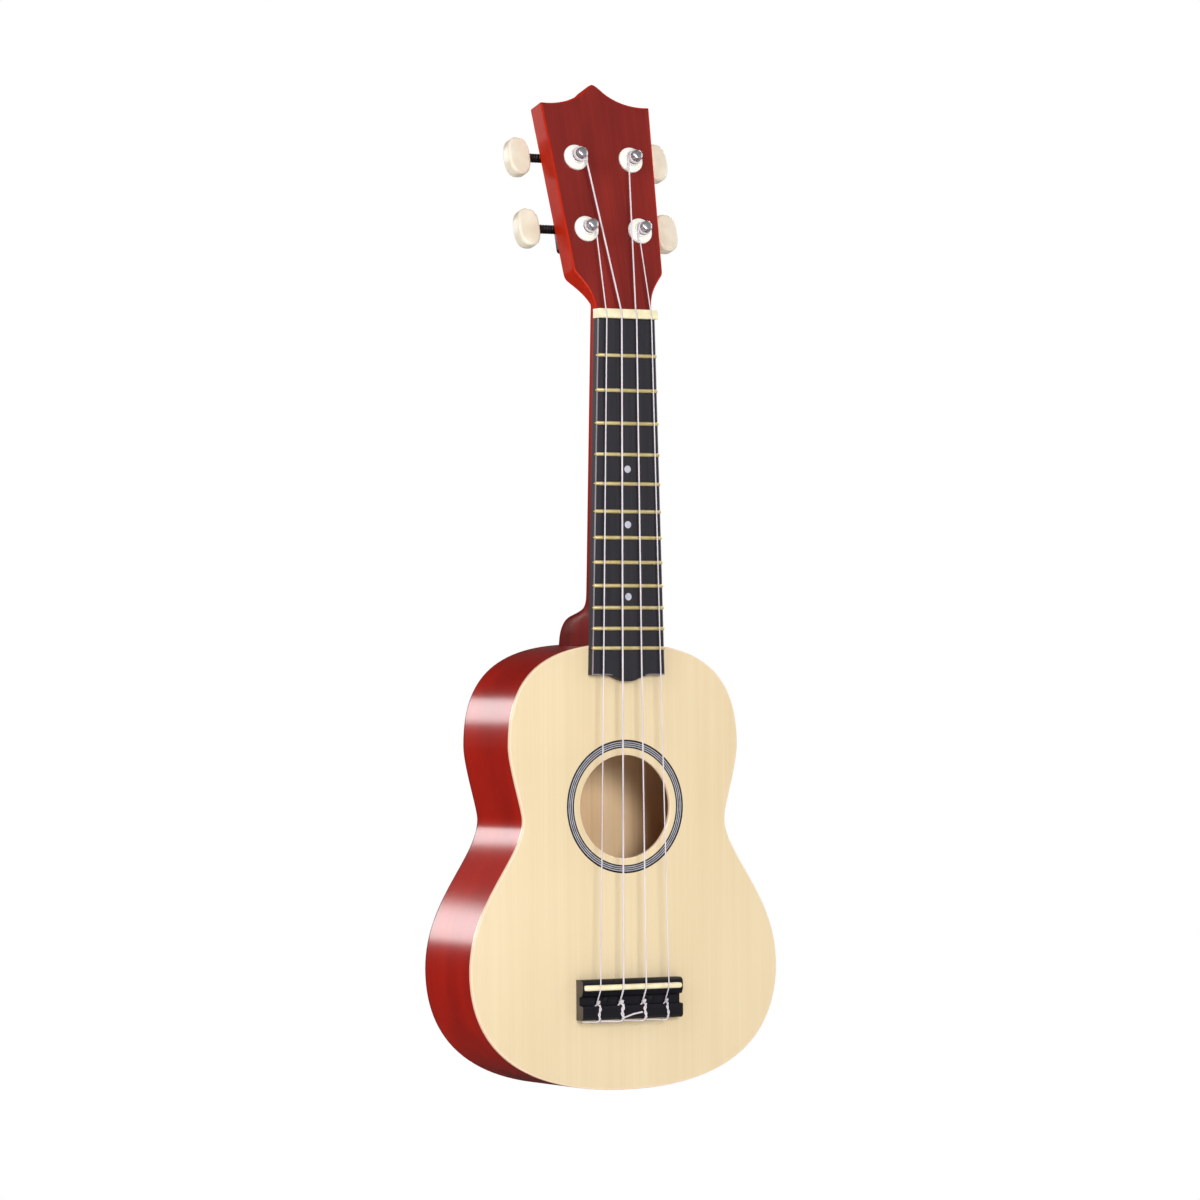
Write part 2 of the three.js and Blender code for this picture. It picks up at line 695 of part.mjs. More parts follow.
function gear() {
  const tip = GEAR_PITCH_RADIUS + GEAR.addendum;
  const root = GEAR_PITCH_RADIUS - GEAR.dedendum;
  const corners = [
    [root, -0.47],
    [tip, -0.17],
    [tip, 0.17],
    [root, 0.47],
  ];
  const lean = Math.tan(Math.asin(WORM_PITCH / (2 * Math.PI * WORM.pitchRadius))) / GEAR_PITCH_RADIUS;
  const wheel = gridSolid(3, GEAR.teeth * corners.length, (row, column) => {
    const depth = WORM.depth + (row < 2 ? -GEAR.wide / 2 : GEAR.wide / 2);
    if (row === 0 || row === 3) return new THREE.Vector3(0, depth, 0);
    const [radius, sideways] = corners[column % corners.length];
    const tooth = (Math.floor(column / corners.length) + 0.5) * ((2 * Math.PI) / GEAR.teeth);
    const angle = tooth + sideways / radius + lean * (depth - WORM.depth);
    return new THREE.Vector3(radius * Math.sin(angle), depth, radius * Math.cos(angle));
  });
  const bore = new THREE.CylinderGeometry(GEAR.bore, GEAR.bore, 10, 16).translate(0, WORM.depth, 0);
  return cut(wheel, [bore]);
}

// The worm: a right-hand thread between a journal and the stem that carries the button, about the X axis.
// Its rows of points follow the thread, so that its crest and root are sharp.
function worm(stemLong) {
  const root = WORM.pitchRadius - GEAR.dedendum;
  const crest = WORM.pitchRadius + GEAR.addendum;
  const half = (WORM.turns * WORM_PITCH) / 2;
  const flank = [-0.225, -0.08, 0.08, 0.225]; // shares of the pitch where the thread starts and ends
  const radiusAt = (x, turn) => {
    const phase = x / WORM_PITCH - turn;
    const share = Math.abs(phase - Math.round(phase));
    return share < flank[2] + 1e-6
      ? crest
      : Math.max(root, crest - ((crest - root) * (share - flank[2])) / (flank[3] - flank[2]));
  };
  const threadRows = 2 * Math.ceil(WORM.turns / 2 + 1) * flank.length;
  const firstTurn = -threadRows / flank.length / 2;
  const ends = [
    [-half - 2.6, 0],
    [-half - 2.6, WORM.journal],
    [-half, WORM.journal],
  ];
  const outer = [
    [half, WORM.stem],
    [stemLong, WORM.stem],
    [stemLong, WORM.journal],
    [stemLong + 5.5, WORM.journal],
    [stemLong + 5.5, 0],
  ];
  const rows = ends.length + threadRows + outer.length;
  return gridSolid(rows - 1, WORM.around, (row, column) => {
    const turn = column / WORM.around;
    const angle = 2 * Math.PI * turn - Math.PI / 2;
    const at = (x, radius) => new THREE.Vector3(x, radius * Math.cos(angle), radius * Math.sin(angle));
    if (row < ends.length) return at(...ends[row]);
    const threadRow = row - ends.length;
    if (threadRow >= threadRows) return at(...outer[threadRow - threadRows]);
    const whole = firstTurn + Math.floor(threadRow / flank.length) + turn;
    const x = (whole + flank[threadRow % flank.length]) * WORM_PITCH;
    const kept = THREE.MathUtils.clamp(x, -half, half);
    return at(kept, radiusAt(kept, turn));
  });
}

function housing(side) {
  const front = HEAD_THICK + GLUE_LINE;
  const { half, below, above, back, wall, lug } = HOUSING;
  const shell = new THREE.Shape();
  shell.moveTo(-half, -below + 2);
  shell.quadraticCurveTo(-half, -below, -half + 2, -below);
  shell.lineTo(half - 2, -below);
  shell.quadraticCurveTo(half, -below, half, -below + 2);
  shell.lineTo(half, above - 2);
  shell.quadraticCurveTo(half, above, half - 2, above);
  shell.lineTo(-half + 2, above);
  shell.quadraticCurveTo(-half, above, -half, above - 2);
  const case_ = slab(shell, front, back, { curveSegments: 3 });
  const tab = box([-3, front, -below - lug], [3, front + 1.8, -below + 1]);
  const hollow = box(
    [-half + wall, front - 1, -below + wall],
    [half - wall, back - wall, above - wall],
  );
  const bore = (radius, from, to) =>
    new THREE.CylinderGeometry(radius, radius, to - from, 14)
      .rotateZ(Math.PI / 2)
      .translate(side * (from + to) * 0.5, WORM.depth, TUNER_CENTRES);
  const screwHole = new THREE.CylinderGeometry(1, 1, 10, 10).translate(0, front, -below - lug / 2);
  return cut(join([case_, tab]), [
    hollow,
    bore(WORM.stem + 0.2, 0, half + 1),
    bore(WORM.journal + 0.2, -half - 1, 0),
    screwHole,
  ]);
}

function button(side, middle) {
  const outline = Array.from({ length: 18 }, (_, i) => {
    const angle = (2 * Math.PI * i) / 18;
    const swell = (value) => Math.sign(value) * Math.abs(value) ** 0.76;
    return new THREE.Vector2(
      (BUTTON.half - BUTTON.edge) * swell(Math.cos(angle)),
      (BUTTON.halfTall - BUTTON.edge) * swell(Math.sin(angle)),
    );
  });
  const oval = slab(new THREE.Shape(outline), BUTTON.edge, BUTTON.thick - BUTTON.edge, {
    bevelEnabled: true,
    bevelThickness: BUTTON.edge,
    bevelSize: BUTTON.edge,
    bevelSegments: 2,
  }).translate(side * middle, WORM.depth - BUTTON.thick / 2, TUNER_CENTRES);
  const socket = new THREE.CylinderGeometry(WORM.journal + 0.3, WORM.journal + 0.3, 8, 10)
    .rotateZ(Math.PI / 2)
    .translate(side * (middle - BUTTON.half + 2), WORM.depth, TUNER_CENTRES);
  return cut(oval, [socket]);
}

function tuner({ name, tuner: { side, across, up } }) {
  const group = new THREE.Group();
  group.position.set(side * across, 0, up);
  const middle = BUTTON.out - across;
  group.add(mesh(`tuner_housing_${name}`, housing(side), BLACK_PLASTIC));
  group.add(mesh(`tuner_bushing_${name}`, bushing(), CREAM_PLASTIC));
  group.add(mesh(`tuner_post_${name}`, post(), CHROME));
  group.add(mesh(`tuner_gear_${name}`, gear(), BRASS));
  group.add(mesh(`tuner_button_${name}`, button(side, middle), CREAM_PLASTIC));
  const screw = mesh(`tuner_worm_${name}`, worm(middle - BUTTON.half - FIT), BLACK_PLASTIC);
  screw.position.set(0, WORM.depth, TUNER_CENTRES);
  screw.rotation.z = side > 0 ? 0 : Math.PI;
  group.add(screw);
  return group;
}

const ukulele = new THREE.Group();
const head = new THREE.Group();
head.position.y = HEAD_FACE_AT_NUT;
head.rotation.x = -HEAD_TILT;
STRINGS.forEach((string) => head.add(tuner(string)));
ukulele.add(body(), neckAssembly(), bridgeAssembly(), head);

export default ukulele;
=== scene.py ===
"""Looks of a soprano ukulele: pale spruce top, red lacquered body and neck, geared tuners.

Sizes are in millimetres and become metres where a mesh is made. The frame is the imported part's own:
+X to the right of someone facing the front, +Y out of the back, +Z up the neck, and the origin at the
middle of the nut's front edge, level with the soundboard's face.
"""

from __future__ import annotations

import json
import logging
import math
import sys
from collections.abc import Iterable, Sequence
from dataclasses import dataclass, field
from enum import Enum

import bmesh
import bpy
from mathutils import Matrix, Vector
from mathutils.geometry import interpolate_bezier, tessellate_polygon


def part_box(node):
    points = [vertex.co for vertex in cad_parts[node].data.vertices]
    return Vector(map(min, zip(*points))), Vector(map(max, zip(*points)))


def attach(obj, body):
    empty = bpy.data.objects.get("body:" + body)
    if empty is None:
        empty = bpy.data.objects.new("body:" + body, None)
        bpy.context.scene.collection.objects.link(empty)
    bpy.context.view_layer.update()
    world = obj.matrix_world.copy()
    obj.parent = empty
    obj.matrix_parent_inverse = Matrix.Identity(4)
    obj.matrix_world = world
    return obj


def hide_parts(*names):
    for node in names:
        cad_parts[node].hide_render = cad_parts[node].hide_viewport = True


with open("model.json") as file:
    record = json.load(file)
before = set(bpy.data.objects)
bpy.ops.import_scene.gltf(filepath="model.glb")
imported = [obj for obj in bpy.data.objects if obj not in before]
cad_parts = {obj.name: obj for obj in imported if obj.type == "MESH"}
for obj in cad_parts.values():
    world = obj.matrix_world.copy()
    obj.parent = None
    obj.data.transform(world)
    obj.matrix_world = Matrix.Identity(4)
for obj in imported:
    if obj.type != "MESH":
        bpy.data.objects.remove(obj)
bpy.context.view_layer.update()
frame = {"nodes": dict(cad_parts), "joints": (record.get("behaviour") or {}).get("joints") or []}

LOG = logging.getLogger("ukulele")
MM = 0.001
SOFTENED_FROM = 40  # degrees: the smallest angle that softened() rounds
ROOT = "instrument"

Colour = tuple[float, float, float]
Flat = tuple[float, float]


def paint(red: float, green: float, blue: float) -> Colour:
    """Turns a paint-chart colour, 0 to 255, into the light it reflects.

    Args:
        red: Red share, 0 to 255.
        green: Green share, 0 to 255.
        blue: Blue share, 0 to 255.

    Returns:
        The linear colour that a shader needs.
    """

    def linear(value: float) -> float:
        """Undoes the display curve on one channel."""
        share = value / 255
        return share / 12.92 if share <= 0.04045 else ((share + 0.055) / 1.055) ** 2.4

    return linear(red), linear(green), linear(blue)


# Node trees ------------------------------------------------------------------------------------------


class Wire:
    """An output socket that can be used in arithmetic."""

    def __init__(self, graph: Graph, socket: bpy.types.NodeSocket) -> None:
        """Keeps the tree that the socket belongs to."""
        self.graph = graph
        self.socket = socket

    def _combine(self, operation: str, first: Wire | float, second: Wire | float) -> Wire:
        """Adds a Math node.

        Args:
            operation: The node's operation.
            first: Its first value.
            second: Its second value.

        Returns:
            The node's result.
        """
        return self.graph.wire("ShaderNodeMath", {"operation": operation}, {0: first, 1: second})

    def __add__(self, other: Wire | float) -> Wire:
        """Sum."""
        return self._combine("ADD", self, other)

    def __sub__(self, other: Wire | float) -> Wire:
        """Difference."""
        return self._combine("SUBTRACT", self, other)

    def __rsub__(self, other: float) -> Wire:
        """Difference with a number in front."""
        return self._combine("SUBTRACT", other, self)

    def __mul__(self, other: Wire | float) -> Wire:
        """Product."""
        return self._combine("MULTIPLY", self, other)

    def __truediv__(self, other: Wire | float) -> Wire:
        """Quotient."""
        return self._combine("DIVIDE", self, other)

    def __rpow__(self, other: float) -> Wire:
        """Power of a number."""
        return self._combine("POWER", other, self)

    def spread(self, low: float, high: float) -> Wire:
        """Stretches the values between low and high to 0 to 1.

        Args:
            low: The value that becomes 0.
            high: The value that becomes 1.

        Returns:
            The stretched value, kept between 0 and 1.
        """
        sockets = {"Value": self, "From Min": low, "From Max": high}
        return self.graph.wire("ShaderNodeMapRange", {"clamp": True}, sockets)


class Graph:
    """A node tree being built, for a material or for geometry."""

    def __init__(self, tree: bpy.types.NodeTree) -> None:
        """Starts on an empty tree."""
        self.tree = tree
        tree.nodes.clear()

    def add(
        self,
        kind: str,
        settings: dict[str, object] | None = None,
        sockets: dict[str | int, object] | None = None,
    ) -> bpy.types.Node:
        """Adds a node.

        Args:
            kind: The node's type.
            settings: Its properties, set before its sockets.
            sockets: A value or a link for each input, by name or number.

        Returns:
            The node.
        """
        node = self.tree.nodes.new(kind)
        for name, value in (settings or {}).items():
            setattr(node, name, value)
        for key, value in (sockets or {}).items():
            if isinstance(value, Wire):
                self.tree.links.new(value.socket, node.inputs[key])
            elif isinstance(value, bpy.types.NodeSocket):
                self.tree.links.new(value, node.inputs[key])
            else:
                node.inputs[key].default_value = value
        return node

    def wire(
        self,
        kind: str,
        settings: dict[str, object] | None = None,
        sockets: dict[str | int, object] | None = None,
        output: str | int = 0,
    ) -> Wire:
        """Adds a node and gives one of its outputs.

        Args:
            kind: The node's type.
            settings: Its properties.
            sockets: Its inputs.
            output: The output's name or number.

        Returns:
            The output.
        """
        return Wire(self, self.add(kind, settings, sockets).outputs[output])


class Surface(Graph):
    """A material's node tree, around one Principled shader."""

    def __init__(self, name: str) -> None:
        """Makes the material with its shader and output.

        Args:
            name: The material's name.
        """
        self.material = bpy.data.materials.new(name)
        self.material.use_nodes = True
        super().__init__(self.material.node_tree)
        self.shader = self.add("ShaderNodeBsdfPrincipled")
        self.add("ShaderNodeOutputMaterial", None, {"Surface": self.shader.outputs[0]})
        self.place = self.wire("ShaderNodeTexCoord", None, None, "Object")

    def stretched(self, scale: tuple[float, float, float], turn: float = 0.0) -> Wire:
        """Object coordinates with a scale for each axis.

        Args:
            scale: Repeats for each metre along X, Y and Z.
            turn: Angle about X, in radians, before the scale.

        Returns:
            The scaled coordinates.
        """
        turned = self.wire(
            "ShaderNodeMapping", {"vector_type": "POINT"}, {"Vector": self.place, "Rotation": (turn, 0, 0)}
        )
        return self.wire("ShaderNodeMapping", None, {"Vector": turned, "Scale": scale})

    def noise(self, vector: Wire, detail: float = 2.0, rough: float = 0.5, warp: float = 0.0) -> Wire:
        """A noise value around 0.5.

        Args:
            vector: Where it is read.
            detail: Octaves.
            rough: How strong the fine octaves are.
            warp: How far the pattern is pulled about.

        Returns:
            The noise.
        """
        sockets = {"Vector": vector, "Scale": 1.0, "Detail": detail, "Roughness": rough, "Distortion": warp}
        return self.wire("ShaderNodeTexNoise", None, sockets)

    def mixed(self, share: Wire | float, first: Colour | Wire, second: Colour | Wire) -> Wire:
        """Blends two colours.

        Args:
            share: How much of the second colour shows.
            first: The colour at 0.
            second: The colour at 1.

        Returns:
            The blend.
        """
        node = self.add("ShaderNodeMix", {"data_type": "RGBA"}, {0: share})
        for index, colour in ((6, first), (7, second)):
            if isinstance(colour, Wire):
                self.tree.links.new(colour.socket, node.inputs[index])
            else:
                node.inputs[index].default_value = (*colour, 1.0)
        return Wire(self, node.outputs[2])

    def bump(self, height: Wire, strength: float, deep: float) -> None:
        """Raises the surface by a height.

        Args:
            height: The height's pattern, 0 to 1.
            strength: How much of it shows.
            deep: The height of 1, in metres.
        """
        sockets = {"Height": height, "Strength": strength, "Distance": deep}
        self.feed("Normal", self.wire("ShaderNodeBump", None, sockets))

    def feed(self, name: str, value: Wire | float | Colour) -> None:
        """Sets or links one of the shader's own sockets.

        Args:
            name: The socket.
            value: A link, a number or a colour.
        """
        socket = self.shader.inputs[name]
        if isinstance(value, Wire):
            self.tree.links.new(value.socket, socket)
        elif isinstance(value, tuple):
            socket.default_value = (*value, 1.0)
        else:
            socket.default_value = value


# Finishes --------------------------------------------------------------------------------------------


class Grain(Enum):
    """The axis that a wood's fibres follow."""

    ACROSS = 0
    DEEP = 1
    UP = 2


@dataclass(frozen=True)
class WoodFinish:
    """A wood with its fibres, slow colour drift, pores and coat, and an optional painted shade below a
    height.
    """

    name: str
    pale: Colour
    dark: Colour
    grain: Grain = Grain.UP
    fibre: float = 1.1
    fibre_long: float = 90.0
    fibre_share: float = 0.6
    drift: float = 28.0
    drift_share: float = 0.4
    rough: float = 0.4
    rough_drift: float = 0.08
    coat: float = 0.0
    coat_rough: float = 0.1
    relief: float = 0.02
    specular: float = 0.5
    turn: float = 0.0
    # The two fields below: a painted shade colour, if given, and the heights in millimetres between which it
    # fades into the wood's own colour.
    deep: Colour | None = None
    painted_shade_between: Flat = (0.0, 0.0)

    def _along(self, wide: float, long: float) -> tuple[float, float, float]:
        """Repeats for each metre, stretched along the fibres.

        Args:
            wide: Size across the fibres, in millimetres.
            long: Size along them.

        Returns:
            The scale for each axis.
        """
        scale = [1 / (wide * MM)] * 3
        scale[self.grain.value] = 1 / (long * MM)
        return scale[0], scale[1], scale[2]

    def material(self) -> bpy.types.Material:
        """Builds the material.

        Returns:
            The material, not yet on any mesh.
        """
        surface = Surface(self.name)
        fibres = surface.noise(surface.stretched(self._along(self.fibre, self.fibre_long), self.turn), 3, 0.6)
        streaks = surface.noise(
            surface.stretched(self._along(self.fibre * 5, self.fibre_long * 2), self.turn), 2, 0.5, 0.2
        )
        drift = surface.noise(surface.stretched(self._along(self.drift, self.drift * 4), self.turn), 1, 0.4)
        lines = fibres.spread(0.3, 0.7) * 0.55 + streaks.spread(0.3, 0.7) * 0.45
        share = lines * self.fibre_share + drift.spread(0.25, 0.75) * self.drift_share
        colour = surface.mixed(share.spread(0.0, 1.0), self.pale, self.dark)
        # Painted shade: below the lower height the colour is the shade colour, fading into the wood's own
        # colour by the upper height.
        if self.deep:
            height = surface.wire("ShaderNodeSeparateXYZ", None, {0: surface.place}, "Z")
            low, high = (z * MM for z in self.painted_shade_between)
            painted_shade_colour = surface.mixed(share, self.deep, self.dark)
            colour = surface.mixed(height.spread(low, high), painted_shade_colour, colour)
        surface.feed("Base Color", colour)
        surface.feed("Roughness", (fibres - 0.5) * self.rough_drift + self.rough)
        surface.feed("Specular IOR Level", self.specular)
        surface.feed("Coat Weight", self.coat)
        surface.feed("Coat Roughness", self.coat_rough)
        surface.bump(fibres, 0.35, self.relief * MM)
        return surface.material


@dataclass(frozen=True)
class MouldedFinish:
    """Moulded plastic or polished bone: a faint cloudiness and a fine skin."""

    name: str
    pale: Colour
    dark: Colour
    rough: float = 0.3
    cloud: float = 7.0
    skin: float = 0.35
    relief: float = 0.01
    sheen_through: float = 0.0

    def material(self) -> bpy.types.Material:
        """Builds the material.

        Returns:
            The material, not yet on any mesh.
        """
        surface = Surface(self.name)
        cloud = surface.noise(surface.stretched((1 / (self.cloud * MM),) * 3), 2, 0.5)
        skin = surface.noise(surface.stretched((1 / (self.skin * MM),) * 3), 2, 0.6)
        surface.feed("Base Color", surface.mixed(cloud.spread(0.3, 0.7), self.pale, self.dark))
        surface.feed("Roughness", (skin - 0.5) * 0.12 + self.rough)
        surface.feed("Subsurface Weight", self.sheen_through)
        surface.feed("Subsurface Scale", 0.002)
        surface.bump(skin, 0.25, self.relief * MM)
        return surface.material


@dataclass(frozen=True)
class MetalFinish:
    """Plated or polished metal with fine rubbing marks."""

    name: str
    pale: Colour
    dark: Colour
    rough: float = 0.15
    marks: tuple[float, float, float] = (0.3, 0.3, 0.3)
    relief: float = 0.004
    metal: float = 1.0

    def material(self) -> bpy.types.Material:
        """Builds the material.

        Returns:
            The material, not yet on any mesh.
        """
        surface = Surface(self.name)
        scale = tuple(1 / (size * MM) for size in self.marks)
        marks = surface.noise(surface.stretched(scale), 3, 0.6)
        tarnish = surface.noise(surface.stretched((220.0,) * 3), 2, 0.5)
        surface.feed("Base Color", surface.mixed(tarnish.spread(0.35, 0.75), self.pale, self.dark))
        surface.feed("Metallic", self.metal)
        surface.feed("Roughness", (marks - 0.5) * 0.14 + self.rough)
        surface.bump(marks, 0.2, self.relief * MM)
        return surface.material


@dataclass(frozen=True)
class PearlFinish:
    """Shell or pearl plastic with soft bands."""

    name: str
    pale: Colour
    dark: Colour
    band: float = 1.4

    def material(self) -> bpy.types.Material:
        """Builds the material.

        Returns:
            The material, not yet on any mesh.
        """
        surface = Surface(self.name)
        bands = surface.noise(surface.stretched((1 / (self.band * MM),) * 3), 2, 0.5, 1.5)
        surface.feed("Base Color", surface.mixed(bands.spread(0.35, 0.65), self.pale, self.dark))
        surface.feed("Roughness", (bands - 0.5) * 0.2 + 0.28)
        surface.feed("Coat Weight", 0.5)
        surface.bump(bands, 0.15, 0.01 * MM)
        return surface.material


TILT = math.atan2(*[frame["joints"][1]["axis"][axis] * sign for axis, sign in ((2, 1), (1, -1))])


class Finishes:
    """Every finish on the instrument, each made once."""

    def __init__(self) -> None:
        """Lists the finishes, then makes each one's material."""
        spruce = (paint(232, 213, 176), paint(219, 196, 155))
        lacquer = {
            "coat": 1.0, "rough": 0.42, "coat_rough": 0.2, "relief": 0.006, "rough_drift": 0.04,
            "specular": 0.05,
        }
        self.spruce = WoodFinish(
            "spruce_top", *spruce, fibre=0.9, fibre_long=160, drift=34, rough=0.36, relief=0.012,
            fibre_share=0.5, drift_share=0.35, coat=0.25, coat_rough=0.25,
        )
        # Paler rounded edge of the top: partly its bare wood, partly a painted highlight.
        self.spruce_edge = WoodFinish(
            "spruce_edge", paint(252, 226, 198), paint(240, 206, 170), rough=0.3, coat=0.6,
            fibre=0.7, fibre_long=40,
        )
        self.rim = WoodFinish(
            "red_lacquer_sides", paint(188, 28, 6), paint(130, 12, 4), fibre=1.6, fibre_long=70,
            drift=30, fibre_share=0.35, drift_share=0.5, **lacquer,
        )
        self.back = WoodFinish(
            "red_lacquer_back", paint(168, 30, 11), paint(114, 15, 7), fibre=1.4, fibre_long=110,
            drift=26, fibre_share=0.5, drift_share=0.4, **lacquer,
        )
        # The neck carries a painted shade: its colour darkens towards the heel, fully dark from 160 mm below
        # the nut and gone by 10 mm below it.
        self.neck = WoodFinish(
            "red_lacquer_neck", paint(196, 42, 12), paint(150, 24, 9), fibre=1.3, fibre_long=100,
            drift=20, fibre_share=0.45, drift_share=0.4, deep=paint(70, 3, 1), painted_shade_between=(-160, -10),
            **{**lacquer, "coat": 0.1},
        )
        self.head_face = WoodFinish(
            "head_face_stain", paint(144, 42, 35), paint(104, 28, 26), fibre=1.2, fibre_long=60,
            drift=12, fibre_share=0.55, drift_share=0.45, rough=0.42, relief=0.01, turn=TILT,
            coat=0.3, coat_rough=0.3, specular=0.1,
        )
        self.inside = WoodFinish(
            "bare_wood_inside", paint(252, 222, 180), paint(230, 190, 142), fibre=0.9, fibre_long=70,
            rough=0.75, relief=0.04, drift=18,
        )
        self.inside_up = WoodFinish(
            "bare_strip_wood", paint(220, 178, 124), paint(188, 142, 90), fibre=0.8, fibre_long=30,
            rough=0.78, relief=0.04,
        )
        self.ebony = WoodFinish(
            "dark_fretboard_wood", paint(52, 50, 57), paint(30, 29, 34), fibre=0.55, fibre_long=60,
            drift=14, rough=0.5, relief=0.03, fibre_share=0.8, drift_share=0.2, specular=0.3,
        )
        # Painted highlight: a pale lilac-grey on the fretboard's rounded long edges, standing for the light
        # that they catch.
        self.ebony_painted_highlight = WoodFinish(
            "worn_fretboard_edge", paint(150, 139, 148), paint(108, 100, 108), fibre=0.4, fibre_long=40,
            drift=10, rough=0.4, relief=0.02,
        )
        self.ebony_across = WoodFinish(
            "dark_bridge_wood", paint(30, 28, 36), paint(13, 12, 17), grain=Grain.ACROSS, fibre=0.55,
            fibre_long=45, drift=12, rough=0.42, specular=0.35, relief=0.03, fibre_share=0.75,
            drift_share=0.25,
        )
        self.end_grain = WoodFinish(
            "dark_wood_end_grain", paint(98, 88, 78), paint(70, 62, 55), grain=Grain.DEEP, fibre=0.35,
            fibre_long=1.0, drift=6, rough=0.62, relief=0.05,
        )
        self.purfling_dark = MouldedFinish(
            "dark_inlay_line", paint(38, 34, 36), paint(24, 22, 24), 0.35, 4, 0.4
        )
        self.purfling_pale = MouldedFinish(
            "grey_inlay_line", paint(196, 196, 204), paint(164, 163, 174), 0.35, 3, 0.3
        )
        self.bone = MouldedFinish(
            "cream_bone", paint(246, 237, 202), paint(232, 219, 176), 0.3, 5, 0.3, 0.012, 0.08
        )
        self.button = MouldedFinish(
            "cream_plastic_button", paint(240, 231, 212), paint(226, 214, 192), 0.32, 9, 0.3, 0.006, 0.1
        )
        self.bushing = MouldedFinish(
            "ivory_plastic_bushing", paint(252, 250, 243), paint(244, 240, 229), 0.24, 6, 0.25, 0.005, 0.08
        )
        self.black_plastic = MouldedFinish(
            "black_plastic", paint(26, 26, 28), paint(14, 14, 16), 0.34, 5, 0.2, 0.02
        )
        self.nylon = MouldedFinish(
            "clear_nylon", paint(226, 217, 221), paint(204, 195, 203), 0.25, 30, 2.0, 0.004, 0.1
        )
        self.brass = MetalFinish(
            "brass_fret", paint(250, 230, 170), paint(234, 208, 136), 0.36, (0.6, 0.08, 0.08), metal=0.5
        )
        self.gear_brass = MetalFinish("brass_gear", paint(214, 178, 98), paint(168, 132, 66), 0.3)
        self.chrome = MetalFinish(
            "bright_chrome", paint(240, 240, 243), paint(220, 220, 226), 0.3, (0.5, 0.5, 0.15), 0.001, 0.85
        )
        self.pearl = PearlFinish("pearl_dot", paint(210, 208, 220), paint(178, 176, 192))
        for name, finish in vars(self).items():
            setattr(self, name, finish.material())


# Mesh work -------------------------------------------------------------------------------------------


class Ends(Enum):
    """How a row of points at an end is closed."""

    OPEN = 0
    WHOLE = 1
    FILLED = 2


@dataclass
class Draft:
    """Points in millimetres and the faces between them."""

    points: list[Vector] = field(default_factory=list)
    faces: list[tuple[int, ...]] = field(default_factory=list)
    dress: list[int] = field(default_factory=list)

    def loop(self, places: Iterable[Sequence[float]]) -> list[int]:
        """Adds a row of points.

        Args:
            places: Where they are.

        Returns:
            Their numbers.
        """
        first = len(self.points)
        self.points.extend(Vector(place) for place in places)
        return list(range(first, len(self.points)))

    def face(self, corners: Sequence[int], dress: int = 0) -> None:
        """Adds one face, leaving out a corner that only repeats the one before it.

        Args:
            corners: The numbers of its points.
            dress: Its material number.
        """
        kept = [corner for i, corner in enumerate(corners) if corner != corners[i - 1]]
        if len(kept) > 2:
            self.faces.append(tuple(kept))
            self.dress.append(dress)

    def join(self, first: list[int], second: list[int], dress: int = 0) -> None:
        """Adds a band of faces between two closed rows of the same length.

        Args:
            first: One row.
            second: The other row.
            dress: The band's material number.
        """
        for i, corner in enumerate(first):
            j = (i + 1) % len(first)
            self.face((corner, first[j], second[j], second[i]), dress)

    def fill(self, rows: Sequence[list[int]], dress: int = 0) -> None:
        """Fills a flat outline, with any holes in it, with triangles.

        Args:
            rows: The outline, then its holes.
            dress: The faces' material number.
        """
        numbers = [number for row in rows for number in row]
        places = [[self.points[number] for number in row] for row in rows]
        for corners in tessellate_polygon(places):
            self.face([numbers[corner] for corner in corners], dress)

    def skin(self, rows: Sequence[list[int]], bands: Sequence[int] = (), ends: Ends = Ends.FILLED) -> Draft:
        """Joins each row to the next and closes both ends.

        Args:
            rows: Rows of the same length.
            bands: The material number of each band, 0 where it runs out.
            ends: How the first and last rows are closed.

        Returns:
            This draft.
        """
        for i, (first, second) in enumerate(zip(rows, rows[1:])):
            self.join(first, second, bands[i] if i < len(bands) else 0)
        for row in (rows[0], rows[-1]):
            if ends is Ends.FILLED:
                self.fill([row])
            elif ends is Ends.WHOLE:
                self.face(row)
        return self

    def turned(self, profile: Sequence[Flat], segments: int) -> Draft:
        """Turns a profile about the Y axis.

        Args:
            profile: Radius and depth of each point, closed at radius 0 or back to its start.
            segments: Steps in a full turn.

        Returns:
            This draft.
        """
        rows: list[list[int]] = []
        for radius, deep in profile:
            if radius < 1e-6:
                rows.append(self.loop([(0, deep, 0)]) * segments)
                continue
            angles = (2 * math.pi * i / segments for i in range(segments))
            rows.append(self.loop((radius * math.cos(a), deep, radius * math.sin(a)) for a in angles))
        return self.skin(rows, ends=Ends.OPEN)

    def build(
        self,
        name: str,
        finishes: Sequence[bpy.types.Material],
        place: Matrix | None = None,
        smooth: float | None = 40,
    ) -> bpy.types.Object:
        """Makes the mesh, with its doubles merged and its faces outwards.

        Args:
            name: The object's name.
            finishes: Materials, by the faces' numbers.
            place: Where the mesh goes, in millimetres.
            smooth: The largest angle shaded as one surface, in degrees, or None for flat faces.

        Returns:
            The object, at the origin.
        """
        moved = [(place @ point if place else point) * MM for point in self.points]
        mesh = bpy.data.meshes.new(name)
        mesh.from_pydata(moved, [], self.faces)
        mesh.polygons.foreach_set("material_index", self.dress)
        for finish in finishes:
            mesh.materials.append(finish)
        tidy_mesh(mesh, smooth)
        return put_in_scene(name, mesh)


